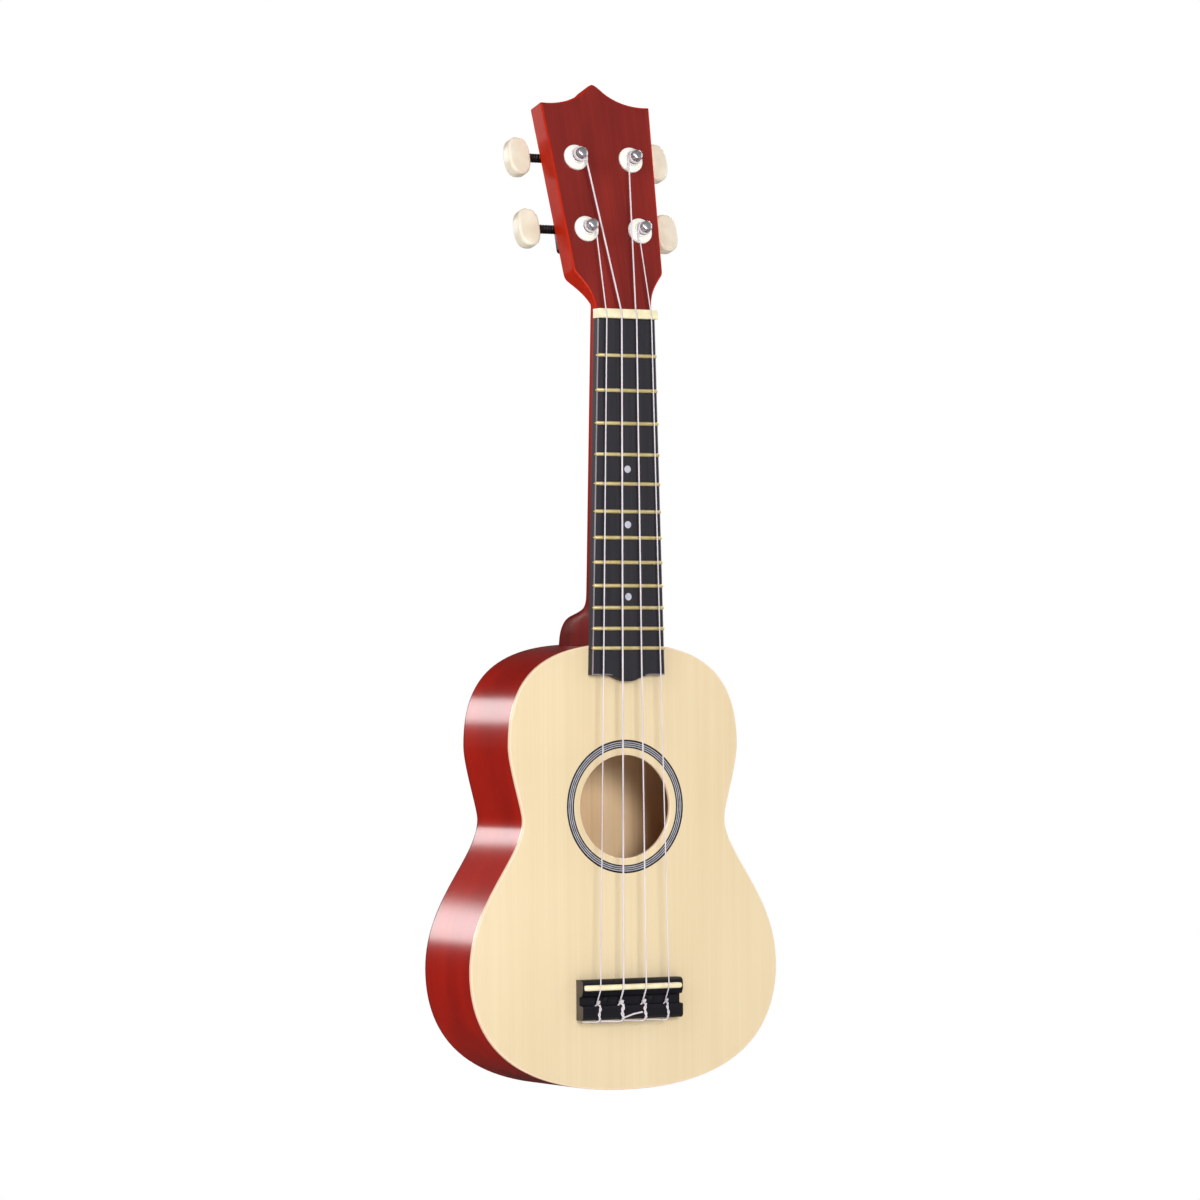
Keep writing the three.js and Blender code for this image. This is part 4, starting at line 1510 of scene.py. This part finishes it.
    def neck(self) -> None:
        """The whole neck: shaft and head joined, with room for body, fretboard, nut and bushings."""
        whole = carved(self._head_blank(), self._shaft(), "UNION")
        seat = Draft()
        top = self.nut_thick + 2 * self.glue
        corners = ((-40, -20), (40, -20), (40, top), (-40, top))
        seat.skin([seat.loop((x, deep, z) for x, z in corners) for deep in (-20, 0)], ends=Ends.WHOLE)
        whole = carved(whole, seat.build("board_seat", [self.finishes.neck]))
        room = Draft()
        room.skin([room.loop(self.outline.round(deep, -0.1)) for deep in (-1, 60)])
        whole = carved(whole, room.build("body_room", [self.finishes.neck]))
        for name, tuner in tuner_frames().items():
            bore = Draft().turned([(0, -6), (4.2, -6), (4.2, 20), (0, 20)], 40)
            whole = carved(whole, bore.build(f"bore_{name}", [self.finishes.neck], tuner))
        whole.name = "lacquered_neck"
        whole.data.name = "lacquered_neck"
        whole.data.shade_smooth()
        whole.data.set_sharp_from_angle(angle=math.radians(32))
        weigh(whole)
        finished(whole, ROOT, "red_gloss_wood", "neck")

    def fretboard(self) -> None:
        """The fretboard, with its shaped end, softened edges and a painted highlight on its long edges."""
        end = self.board_end
        tail = bezier_line([((14, end), (8, end), (6, end - self.tongue), (0, end - self.tongue))], 13)
        half = [(0.0, -self.glue), (self.half_at_nut, -self.glue), (self.half_at_end, end), *tail]
        draft = Draft()
        top = -self.board_thick - self.glue
        rows = []
        edge = ((0.55, top), (0.24, top + 0.08), (0.06, top + 0.28), (0.0, top + 0.6), (0.0, -self.glue))
        for inwards, deep in edge:
            line = [half[0]]
            for x, z in half[1:]:
                shrunk = max(x - inwards, 0.0) if x > 0.5 else x
                line.append((shrunk, z if z > -1 else z + inwards))
            rows.append(draft.loop((x, deep, z) for x, z in mirrored(line)))
        # The rounded edge bands wear the pale painted highlight; the faces round the shaped end go back to
        # the dark wood below.
        draft.skin(rows, (1, 1, 1))
        board = draft.build("fretboard_wood", [self.finishes.ebony, self.finishes.ebony_painted_highlight], smooth=30)
        for face in board.data.polygons:
            if face.center.z < end * MM:
                face.material_index = 0
        weigh(board)
        finished(board, ROOT, "dark_wood", "fretboard")

    def fret_row(self) -> None:
        """Twelve frets, placed and sized by the equal-tempered rule."""
        inputs = {
            "Fret": bpy.types.Object, "Count": int, "Scale Length": float, "Half At Nut": float,
            "Half At End": float, "Board Long": float, "Overhang": float, "Finish": bpy.types.Material,
        }
        recipe = Recipe("fret_row", inputs)
        points = recipe.wire("GeometryNodeMeshLine", {"mode": "OFFSET"}, {"Count": recipe.given("Count")})
        number = recipe.wire("GeometryNodeInputIndex") + 1.0
        drop = recipe.given("Scale Length") * (1.0 - 2.0 ** (number * (-1 / 12)))
        widening = (recipe.given("Half At End") - recipe.given("Half At Nut")) / recipe.given("Board Long")
        half = recipe.given("Half At Nut") + widening * drop + recipe.given("Overhang")
        place = recipe.vector(0.0, 0.0, drop * -1.0)
        placed = recipe.wire("GeometryNodeSetPosition", None, {"Geometry": points, "Position": place})
        fret = recipe.wire("GeometryNodeObjectInfo", None, {"Object": recipe.given("Fret")}, "Geometry")
        row = recipe.wire(
            "GeometryNodeInstanceOnPoints", None,
            {"Points": placed, "Instance": fret, "Scale": recipe.vector(half * (1 / (20 * MM)), 1.0, 1.0)},
        )
        recipe.close(row)
        draft = Draft()
        top = -self.board_thick - self.glue
        rows = []
        for x, size in ((-20, 0.45), (-19.8, 0.8), (-19.3, 1.0), (19.3, 1.0), (19.8, 0.8), (20, 0.45)):
            crown = []
            for i in range(13):
                angle = math.pi * i / 12
                tall = self.crown_tall * size * math.sin(angle)
                crown.append((x, top - tall, -self.crown_wide / 2 * (0.6 + 0.4 * size) * math.cos(angle)))
            tang = [(x, top, self.tang_wide / 2), (x, top + self.tang_deep, self.tang_wide / 2),
                    (x, top + self.tang_deep, -self.tang_wide / 2), (x, top, -self.tang_wide / 2)]
            rows.append(draft.loop([*crown, *tang]))
        draft.skin(rows)
        blank = draft.build("fret_blank", [self.finishes.brass])
        values = {
            "Fret": blank, "Count": self.frets, "Scale Length": self.scale * MM,
            "Half At Nut": self.half_at_nut * MM, "Half At End": self.half_at_end * MM,
            "Board Long": -self.board_end * MM, "Overhang": 0.1 * MM, "Finish": self.finishes.brass,
        }
        frets = recipe.run(lines_host("fret_host", []), "brass_frets", values, 40)
        bpy.data.objects.remove(blank)
        finished(frets, ROOT, "fret_brass", *[f"fret_{n:02d}" for n in range(1, self.frets + 1)])

    def dots(self, copies: Recipe) -> None:
        """Pearl dots, let into the fretboard.

        Args:
            copies: The recipe for copies at points.
        """
        top = -self.board_thick - self.glue
        dimple = [(0, -0.04), (self.dot_radius * 0.6, -0.035), (self.dot_radius * 0.9, -0.01),
                  (self.dot_radius, 0.05), (self.dot_radius, 0.5), (0, 0.5)]
        blank = Draft().turned(dimple, 40).build("dot_blank", [self.finishes.pearl])
        places = [(0, top, (self.fret_z(space) + self.fret_z(space - 1)) / 2) for space in self.dot_spaces]
        finished(copies_of(copies, blank, "pearl_dots", places), ROOT, "bone")

    def nut(self) -> None:
        """The nut, from its own cut shape with softened edges."""
        nut = softened(copied_node("nut", "bone_nut", self.finishes.bone), 0.3)
        finished(nut, ROOT, "bone", "nut")

    def make(self, copies: Recipe) -> None:
        """Builds the neck.

        Args:
            copies: The recipe for copies at points.
        """
        self.neck()
        self.fretboard()
        self.fret_row()
        self.dots(copies)
        self.nut()


def weigh(made: bpy.types.Object) -> None:
    """Lets wide faces rule the shading beside small ones."""
    modifier = made.modifiers.new("even_shading", "WEIGHTED_NORMAL")
    modifier.keep_sharp = True


def tuner_frames() -> dict[str, Matrix]:
    """Each tuner's own frame, from its post's joint: the post along Y, its tip to the front.

    Returns:
        A matrix in millimetres for each string's name.
    """
    frames = {}
    for joint in frame["joints"]:
        if joint["name"].startswith("post_"):
            place = Vector(joint["pos_m"]) / MM
            frames[joint["name"].split("_")[1]] = Matrix.Translation(place) @ Matrix.Rotation(-TILT, 4, "X")
    return frames


# Bridge and strings ----------------------------------------------------------------------------------


@dataclass
class Bridge:
    """The tie-block bridge with its saddle and the caps over its screws."""

    finishes: Finishes
    saddle_half: float = 29.4
    saddle_thick: float = 3.0
    cap_across: float = 13.76
    cap_deep: float = -3.4
    cap_z: float = -358.2
    cap_radius: float = 1.9

    def bridge(self) -> None:
        """The bridge, from its own cut shape with softened edges and end grain at its ends."""
        made = copied_node("bridge", "dark_wood_bridge", self.finishes.ebony_across)
        made.data.materials.append(self.finishes.end_grain)
        for face in made.data.polygons:
            if abs(face.normal.x) > 0.95 and abs(face.center.x) > 30 * MM:
                face.material_index = 1
        softened(made, 0.3)
        finished(made, ROOT, "dark_wood", "bridge")

    def saddle(self) -> None:
        """The saddle: a bone strip with a rounded top and rounded ends."""
        low, high = box_mm("saddle")
        middle = (low.z + high.z) / 2
        draft = Draft()
        end = ((-1, 0.45), (-0.995, 0.72), (-0.98, 0.92), (-0.95, 1.0))
        rows = []
        for x, share in (*end, *[(-x, share) for x, share in reversed(end)]):
            half = self.saddle_thick / 2 * share
            drop = (1 - share) * 1.6
            section = [(high.y, half), (low.y + 1.5, half)]
            for i in range(1, 8):
                angle = math.pi * i / 8
                section.append((low.y + drop + 1.2 * (1 - math.sin(angle)), half * math.cos(angle)))
            section += [(low.y + 1.5, -half), (high.y, -half)]
            rows.append(draft.loop((x * self.saddle_half, deep, middle + up) for deep, up in section))
        draft.skin(rows)
        made = draft.build("bone_saddle", [self.finishes.bone], smooth=45)
        finished(made, ROOT, "bone", "saddle")

    def caps(self, copies: Recipe) -> None:
        """Two dark caps over the screws, in the channel's floor.

        Args:
            copies: The recipe for copies at points.
        """
        radius = self.cap_radius
        crown = [(0, -0.25), (radius * 0.5, -0.2), (radius * 0.9, -0.06), (radius, 0.3)]
        profile = [*crown, (radius, 0.8), (0, 0.8)]
        blank = Draft().turned(profile, 32).build("cap_blank", [self.finishes.black_plastic])
        places = [(side * self.cap_across, self.cap_deep, self.cap_z) for side in (-1, 1)]
        finished(copies_of(copies, blank, "bridge_screw_caps", places), ROOT, "dark_wood")

    def make(self, copies: Recipe) -> None:
        """Builds the bridge.

        Args:
            copies: The recipe for copies at points.
        """
        self.bridge()
        self.saddle()
        self.caps(copies)


@dataclass
class Strings:
    """Four nylon strings: tied at the bridge, over saddle and nut, wound on their posts."""

    finishes: Finishes
    radii: Sequence[tuple[str, float]] = (("g", 0.35), ("c", 0.47), ("e", 0.41), ("a", 0.33))
    nut_pitch: float = 9.04
    saddle_pitch: float = 13.76
    at_nut: float = -7.54
    at_saddle: float = -9.11
    saddle_z: float = -351.4
    block_front: float = -361.0
    block_back: float = -368.3
    block_top: float = -7.2
    hole_deep: float = -4.4
    post_radius: float = 2.9
    wind_above: float = 4.7
    wind_turns: float = 2.3
    wind_gap: float = 0.15
    nut_thick: float = 5.0
    wind_steps: int = 26
    twists: float = 1.3
    strand_steps: int = 36
    knot_turns: float = 2.1
    knot_steps: int = 44

    def _winding(self, place: Matrix, side: int, radius: float, nut_x: float) -> list[Vector]:
        """The turns round the post.

        Args:
            place: The tuner's frame.
            side: -1 on the left, 1 on the right.
            radius: The string's radius.
            nut_x: Where the string crosses the nut.

        Returns:
            Their points, from the nut's side upwards.
        """
        across, up = abs(place.translation.x), place.translation.z / math.cos(TILT)
        turn_radius = self.post_radius + self.wind_gap + radius
        arrival = math.atan2(across - turn_radius - abs(nut_x), up)
        points = []
        for i in range(round(self.wind_turns * self.wind_steps) + 1):
            turns = i / self.wind_steps
            angle = arrival + 2 * math.pi * turns
            above = self.wind_above + (2 * radius + 0.05) * turns
            local = Vector((-side * turn_radius * math.cos(angle), -above, turn_radius * math.sin(angle)))
            points.append(place @ local)
        return points

    def _main(self, index: int, name: str, radius: float) -> list[Vector]:
        """The string from its hole in the tie block to the end of its winding.

        Args:
            index: Its number from the left.
            name: Its name.
            radius: Its radius.

        Returns:
            Its points.
        """
        x = (index - 1.5) * self.saddle_pitch
        nut_x = (index - 1.5) * self.nut_pitch
        side = -1 if index < 2 else 1
        over = self.at_saddle
        lead = rounded_path([
            (x, self.hole_deep, self.block_back), (x, self.hole_deep, self.block_front),
            (x, self.hole_deep - 0.35, self.block_front + 1.1), (x, over + 0.75, self.saddle_z - 2.1),
            (x, over + 0.12, self.saddle_z - 0.7), (x, over, self.saddle_z), (x, over, self.saddle_z + 1.5),
        ], 5)
        at_nut = rounded_path([
            (nut_x, self.at_nut, 0.3), (nut_x, self.at_nut + 0.03, 1.2), (nut_x, self.at_nut + 0.35, 2.6),
            (nut_x, self.at_nut + 1.05, self.nut_thick + 0.3),
        ], 4)
        return [*lead, *at_nut, *self._winding(tuner_frames()[name], side, radius, nut_x)]

    def _tie(self, index: int, radius: float) -> list[list[Vector]]:
        """What is tied at the bridge: two twisted strands over the block, a knot and tails.

        Args:
            index: The string's number from the left.
            radius: Its radius.

        Returns:
            One line of points for each piece of string.
        """
        x = (index - 1.5) * self.saddle_pitch
        front, back, top = self.block_front, self.block_back, self.block_top
        gap = radius * 1.04
        high = top - radius - gap - 0.05
        strands = []
        for start in (0.0, math.pi):
            strand = []
            for i in range(self.strand_steps + 1):
                share = i / self.strand_steps
                z = front + 0.6 + (back + 0.9 - front - 0.6) * share
                lean = 0.35 * math.sin(math.pi * share * 2 + index)
                angle = start + 2 * math.pi * self.twists * share
                dip = 0.8 * max(0.0, 1 - share * 7) ** 2
                across, deep = x + lean + gap * math.cos(angle), high + dip + gap * math.sin(angle)
                strand.append(Vector((across, deep, z)))
            strands.append(strand)
        loop_end = rounded_path([
            strands[0][-1], (x + 0.1, top + 0.2, back - 0.55), (x, top + 1.4, back - 0.75),
            (x, self.hole_deep, back - 0.5), (x, self.hole_deep, back + 0.4),
        ], 5)
        tail_x = x - (self.saddle_pitch if index else 11.0) + 1.2
        tail = rounded_path([
            strands[1][-1], (x - 0.4, top - 0.1, back - 0.6), (x - 2.2, top + 0.5, back - 0.9 - 0.1 * index),
            (x - 6.0, top + 0.55, back - 0.75), (tail_x, top + 0.35, back - 0.6),
        ], 5)
        knot = []
        for i in range(self.knot_steps + 1):
            share = i / self.knot_steps
            angle = 2 * math.pi * self.knot_turns * share + 0.6
            reach = radius * 2.05
            knot.append(Vector((
                x + reach * math.cos(angle), self.hole_deep - 1.5 - 0.9 * share + reach * math.sin(angle),
                front + 0.7 + 1.9 * share,
            )))
        stub = rounded_path([
            knot[0], (x - 1.0, self.hole_deep - 1.5, front + 0.5),
            (x - 1.9, self.hole_deep - 1.7, front - 0.2),
        ], 5)
        lines = [strands[0] + loop_end[1:], strands[1] + tail[1:], knot, stub]
        if index == 1:
            lines.append(rounded_path([
                strands[1][-3], (x + 1.5, top - 0.8, back + 1.2), (x + 6.5, top - 0.75, back + 2.6),
                (x + 12.0, top - 0.55, back + 3.5),
            ], 5))
        return lines

    def make(self, cord: Recipe) -> None:
        """Builds the strings.

        Args:
            cord: The recipe for a cord along lines.
        """
        for index, (name, radius) in enumerate(self.radii):
            lines = [self._main(index, name, radius), *self._tie(index, radius)]
            values = {"Radius": radius * MM, "Sides": 12, "Finish": self.finishes.nylon}
            made = cord.run(lines_host(f"{name}_lines", lines), f"nylon_string_{name}", values, 60)
            finished(made, ROOT, "nylon", f"string_{name}")


# Tuners ----------------------------------------------------------------------------------------------


@dataclass
class Tuner:
    """One geared tuner: bushing, post, housing, worm with its stem, and button."""

    finishes: Finishes
    name: str
    place: Matrix
    side: int
    across: float
    post_radius: float = 2.9
    post_tip: float = 9.8
    flange: float = 7.0
    collar: float = 4.1
    collar_top: float = 3.6
    bore: float = 3.15
    sleeve: float = 4.0
    sleeve_deep: float = 7.0
    worm_deep: float = 17.5
    centres: float = 5.5
    stem: float = 2.4
    journal: float = 1.1
    thread_pitch: float = 0.6 * math.pi
    thread_turns: float = 3.5
    thread_crest: float = 2.4
    thread_root: float = 1.2
    thread_steps: int = 8
    worm_around: int = 28
    groove: float = 0.28
    groove_pitch: float = 1.55
    grooves_from: float = 8.0
    spigot: float = 5.5
    button_half: float = 6.4
    button_tall: float = 10.3
    button_thick: float = 8.0
    button_edge: float = 1.6
    button_oval: float = 0.76
    button_out: float = 42.0

    def bushing(self) -> None:
        """The domed bushing, with a step round its collar."""
        bore, collar, flange, top = self.bore, self.collar, self.flange, -self.collar_top
        profile = [
            (bore, top + 0.2), (bore + 0.2, top), (collar - 0.35, top), (collar - 0.1, top + 0.1),
            (collar, top + 0.35), (collar + 0.05, -2.75), (collar + 0.3, -2.5), (collar + 0.75, -2.42),
            (5.4, -2.25), (5.9, -2.02), (6.0, -1.9), (6.12, -1.86), (6.6, -1.62), (6.88, -1.3),
            (flange, -0.9), (flange, -0.2), (flange - 0.1, -0.05), (self.sleeve, -0.05),
            (self.sleeve, self.sleeve_deep),
            (bore, self.sleeve_deep), (bore, top + 0.2),
        ]
        made = Draft().turned(profile, 64).build(f"bushing_{self.name}", [self.finishes.bushing], self.place)
        finished(made, ROOT, "cream_plastic", f"tuner_bushing_{self.name}")

    def post(self) -> None:
        """The post, with a rounded tip, a shallow neck under it and the string's hole."""
        radius, tip = self.post_radius, -self.post_tip
        profile = [
            (0, tip), (radius * 0.45, tip + 0.03), (radius * 0.7, tip + 0.14), (radius * 0.88, tip + 0.4),
            (radius * 0.97, tip + 0.8), (radius, tip + 1.3), (radius, tip + 1.7), (radius - 0.22, tip + 2.0),
            (radius - 0.3, tip + 2.6), (radius - 0.3, -5.0), (radius - 0.1, -4.2), (radius, -3.9),
            (radius, 12.5), (2.1, 15.5), (1.5, 15.5), (1.5, 21.0), (0, 21.0),
        ]
        post = Draft().turned(profile, 48).build(f"post_{self.name}", [self.finishes.chrome], self.place)
        drill = Matrix.Translation((0, -6.8, 0)) @ Matrix.Rotation(math.pi / 2, 4, "X")
        hole = Draft().turned([(0, -5), (0.8, -5), (0.8, 5), (0, 5)], 24)
        made = carved(post, hole.build("string_hole", [self.finishes.chrome], self.place @ drill), smooth=35)
        finished(made, f"capstan_{self.name}", "chrome", f"tuner_post_{self.name}")

    def housing(self) -> None:
        """The closed housing, from its own cut shape with softened edges."""
        node = f"tuner_housing_{self.name}"
        made = softened(copied_node(node, f"housing_{self.name}", self.finishes.black_plastic), 0.35)
        finished(made, ROOT, "black_metal", node)

    def worm(self) -> None:
        """The worm with its thread, and the grooved stem that carries the button."""
        long = self.button_out - self.across - self.button_half - 0.3
        half = self.thread_turns * self.thread_pitch / 2
        around = self.worm_around
        draft = Draft()
        rows = [draft.loop([(-half - 2.6, 0, 0)]) * around]

        def ring(x: float, radius: float) -> list[int]:
            """A ring of points about the X axis."""
            angles = (2 * math.pi * i / around for i in range(around))
            return draft.loop((x, radius * math.cos(a), radius * math.sin(a)) for a in angles)

        rows += [ring(x, self.journal) for x in (-half - 2.6, -half - 0.3)]
        count = round(self.thread_turns * self.thread_steps)
        for step in range(count + 1):
            base = -half + 2 * half * step / count
            places = []
            for i in range(around):
                phase = (base / self.thread_pitch - i / around) % 1.0
                lift = max(0.0, min(1.0, 2.2 - 6 * abs(phase - 0.5)))
                fade = min(1.0, step / 3, (count - step) / 3)
                radius = self.thread_root + (self.thread_crest - self.thread_root) * lift * fade
                angle = 2 * math.pi * i / around
                places.append((base, radius * math.cos(angle), radius * math.sin(angle)))
            rows.append(draft.loop(places))
        x = half + 0.4
        rows.append(ring(x, self.stem))
        while x < long - 1.0:
            if x > self.grooves_from:
                groove = ((0.0, 0.0), (0.25, self.groove), (0.6, self.groove), (0.85, 0.0))
                rows += [ring(x + along, self.stem - cut) for along, cut in groove]
                x += self.groove_pitch
            else:
                x = self.grooves_from + 0.05
        foot = (
            (long - 0.3, self.stem), (long, self.stem - 0.3), (long, self.journal),
            (long + self.spigot, self.journal),
        )
        rows += [ring(x, radius) for x, radius in foot]
        rows.append(draft.loop([(long + self.spigot, 0, 0)]) * around)
        draft.skin(rows, ends=Ends.OPEN)
        flip = Matrix.Rotation(math.pi if self.side < 0 else 0.0, 4, "Y")
        place = self.place @ Matrix.Translation((0, self.worm_deep, self.centres)) @ flip
        made = draft.build(f"worm_{self.name}", [self.finishes.black_plastic], place, 35)
        finished(made, f"key_{self.name}", "black_metal", f"tuner_worm_{self.name}")

    def button(self) -> None:
        """The oval button: a flat face, a wide rounded rim and a socket for the stem."""
        middle = self.side * (self.button_out - self.across)
        edge, thick = self.button_edge, self.button_thick
        rim = []
        for i in range(9):
            angle = math.pi / 2 * i / 8
            rim.append((edge * (1 - math.sin(angle)), edge * (1 - math.cos(angle))))
        profile = [*rim, *[(inwards, thick - deep) for inwards, deep in reversed(rim)]]
        draft = Draft()
        rows = []
        for inwards, deep in profile:
            places = []
            for i in range(72):
                angle = 2 * math.pi * i / 72
                wide = math.copysign(abs(math.cos(angle)) ** self.button_oval, math.cos(angle))
                tall = math.copysign(abs(math.sin(angle)) ** self.button_oval, math.sin(angle))
                places.append((
                    middle + (self.button_half - inwards) * wide, self.worm_deep - thick / 2 + deep,
                    self.centres + (self.button_tall - inwards) * tall,
                ))
            rows.append(draft.loop(places))
        draft.skin(rows)
        button = draft.build(f"button_{self.name}", [self.finishes.button], self.place, 40)
        socket = Draft().turned([(0, -4), (self.journal + 0.2, -4), (self.journal + 0.2, 4), (0, 4)], 24)
        inner = middle - self.side * (self.button_half - 2)
        middle_of_socket = Matrix.Translation((inner, self.worm_deep, self.centres))
        drill = middle_of_socket @ Matrix.Rotation(math.pi / 2, 4, "Z")
        tool = socket.build("stem_socket", [self.finishes.button], self.place @ drill)
        made = carved(button, tool, smooth=40)
        finished(made, f"key_{self.name}", "cream_plastic", f"tuner_button_{self.name}")

    def make(self) -> None:
        """Builds the tuner."""
        self.bushing()
        self.post()
        self.housing()
        self.worm()
        self.button()
        dressed(f"tuner_gear_{self.name}", self.finishes.gear_brass)


@dataclass
class HousingScrews:
    """The four screws that hold the housings to the back of the head."""

    finishes: Finishes
    up: float = -8.6
    radius: float = 1.75

    def make(self, copies: Recipe) -> None:
        """Builds the screws.

        Args:
            copies: The recipe for copies at points.
        """
        radius = self.radius
        profile = [
            (0, 15.0), (radius * 0.55, 14.92), (radius * 0.86, 14.62), (radius, 14.2), (radius, 13.87),
            (0.85, 13.87), (0.85, 12.1), (0, 12.1),
        ]
        head = Draft().turned(profile, 32).build("screw_blank", [self.finishes.chrome])
        for turn in (0.0, math.pi / 2):
            draft = Draft()
            corners = ((-1.15, -0.22), (1.15, -0.22), (1.15, 0.22), (-1.15, 0.22))
            rows = [draft.loop((x, deep, z) for x, z in corners) for deep in (14.45, 16.0)]
            draft.skin(rows, ends=Ends.WHOLE)
            slot = draft.build("screw_slot", [self.finishes.chrome], Matrix.Rotation(turn, 4, "Y"))
            head = carved(head, slot)
        places = [place @ Vector((0, 0, self.up)) for place in tuner_frames().values()]
        finished(copies_of(copies, head, "housing_screws", places, -TILT, 35), ROOT, "chrome")


# Studio ----------------------------------------------------------------------------------------------


@dataclass(frozen=True)
class SoftLight:
    """One rectangular studio light."""

    name: str
    place: tuple[float, float, float]
    wide: float
    tall: float
    power: float
    aim: tuple[float, float, float] = (0.0, 0.0, -0.2)

    def switch_on(self) -> None:
        """Adds the light to the scene."""
        light = bpy.data.lights.new(self.name, "AREA")
        light.shape = "RECTANGLE"
        light.size, light.size_y = self.wide, self.tall
        light.energy = self.power
        lamp = bpy.data.objects.new(self.name, light)
        lamp.location = self.place
        lamp.rotation_euler = (Vector(self.aim) - Vector(self.place)).to_track_quat("-Z", "Y").to_euler()
        lamp.visible_camera = False
        bpy.context.scene.collection.objects.link(lamp)


@dataclass
class Studio:
    """Camera, pale floor and soft lights."""

    eye: tuple[float, float, float] = (-1.3766, -2.4078, -0.1967)
    look: tuple[float, float, float] = (0.492305, 0.870246, 0.017548)
    down: tuple[float, float, float] = (0.003110, 0.018402, -0.999826)
    lens: float = 157.85
    floor_drop: float = 0.62
    floor_reach: float = 1.5
    air_light: float = 0.3
    air_mirrored: float = 0.03
    lights: Sequence[SoftLight] = (
        SoftLight("front_key", (-0.42, -2.5, 0.36), 0.9, 0.9, 43),
        SoftLight("left_fill", (-2.1, -0.5, 0.75), 1.2, 1.3, 23),
        SoftLight("left_back_band", (-1.31, 2.63, 0.5), 1.1, 0.62, 13.2, (-0.05, 0.02, -0.3)),
        SoftLight("right_fill", (2.1, -0.6, 0.5), 1.2, 1.4, 9),
        SoftLight("back_key", (1.7, 1.6, 1.3), 1.4, 1.4, 30),
    )

    def camera(self) -> None:
        """The camera at its own angle."""
        data = bpy.data.cameras.new("camera")
        data.lens = self.lens
        data.sensor_width = 36
        data.clip_start, data.clip_end = 0.05, 50
        camera = bpy.data.objects.new("camera", data)
        forward, down = Vector(self.look), Vector(self.down)
        right = down.cross(forward)
        turn = Matrix((right, -down, -forward)).transposed()
        camera.matrix_world = Matrix.Translation(self.eye) @ turn.to_4x4()
        bpy.context.scene.collection.objects.link(camera)
        bpy.context.scene.camera = camera

    def floor(self) -> None:
        """A plain pale floor, well under the hanging instrument."""
        draft = Draft()
        reach = self.floor_reach / MM
        angles = [2 * math.pi * i / 64 for i in range(64)]
        low = -self.floor_drop / MM
        row = draft.loop((reach * math.cos(a), reach * math.sin(a), low) for a in angles)
        edge = draft.loop((reach * math.cos(a), reach * math.sin(a), low - 10) for a in angles)
        draft.skin([row, edge], ends=Ends.WHOLE)
        pale, dark = (0.86, 0.86, 0.85), (0.82, 0.82, 0.81)
        cloth = MouldedFinish("studio_floor", pale, dark, 0.85, 400, 30, 0.0).material()
        floor = draft.build("floor", [cloth], smooth=20)
        floor.visible_glossy = False

    def air(self) -> None:
        """White surroundings, dimmer in what they light than in what the camera sees."""
        world = bpy.data.worlds.new("studio_air")
        world.use_nodes = True
        graph = Graph(world.node_tree)
        seen = graph.wire("ShaderNodeLightPath", None, None, "Is Camera Ray")
        mirrored = graph.wire("ShaderNodeLightPath", None, None, "Is Glossy Ray")
        lit, drop = self.air_light, self.air_light - self.air_mirrored
        strength = seen * (1 - lit) + lit - mirrored * drop
        background = graph.add("ShaderNodeBackground", None, {0: (1.0, 1.0, 1.0, 1.0), 1: strength})
        graph.add("ShaderNodeOutputWorld", None, {0: background.outputs[0]})
        bpy.context.scene.world = world
        bpy.context.scene.view_settings.view_transform = "Standard"

    def make(self) -> None:
        """Sets the studio up."""
        self.camera()
        self.floor()
        self.air()
        for light in self.lights:
            light.switch_on()


def main() -> None:
    """Builds the instrument round its frame and sets the studio up."""
    logging.basicConfig(level=logging.INFO, format="%(name)s: %(message)s", stream=sys.stdout)
    finishes = Finishes()
    copies = copies_recipe()
    body = Body(finishes)
    body.make()
    Neck(finishes, body.outline).make(copies)
    Bridge(finishes).make(copies)
    Strings(finishes).make(swept_recipe(Section.CORD))
    for name, place in tuner_frames().items():
        side = -1 if place.translation.x < 0 else 1
        Tuner(finishes, name, place, side, abs(place.translation.x)).make()
    HousingScrews(finishes).make(copies)
    Studio().make()


if __name__ == "__main__":
    main()
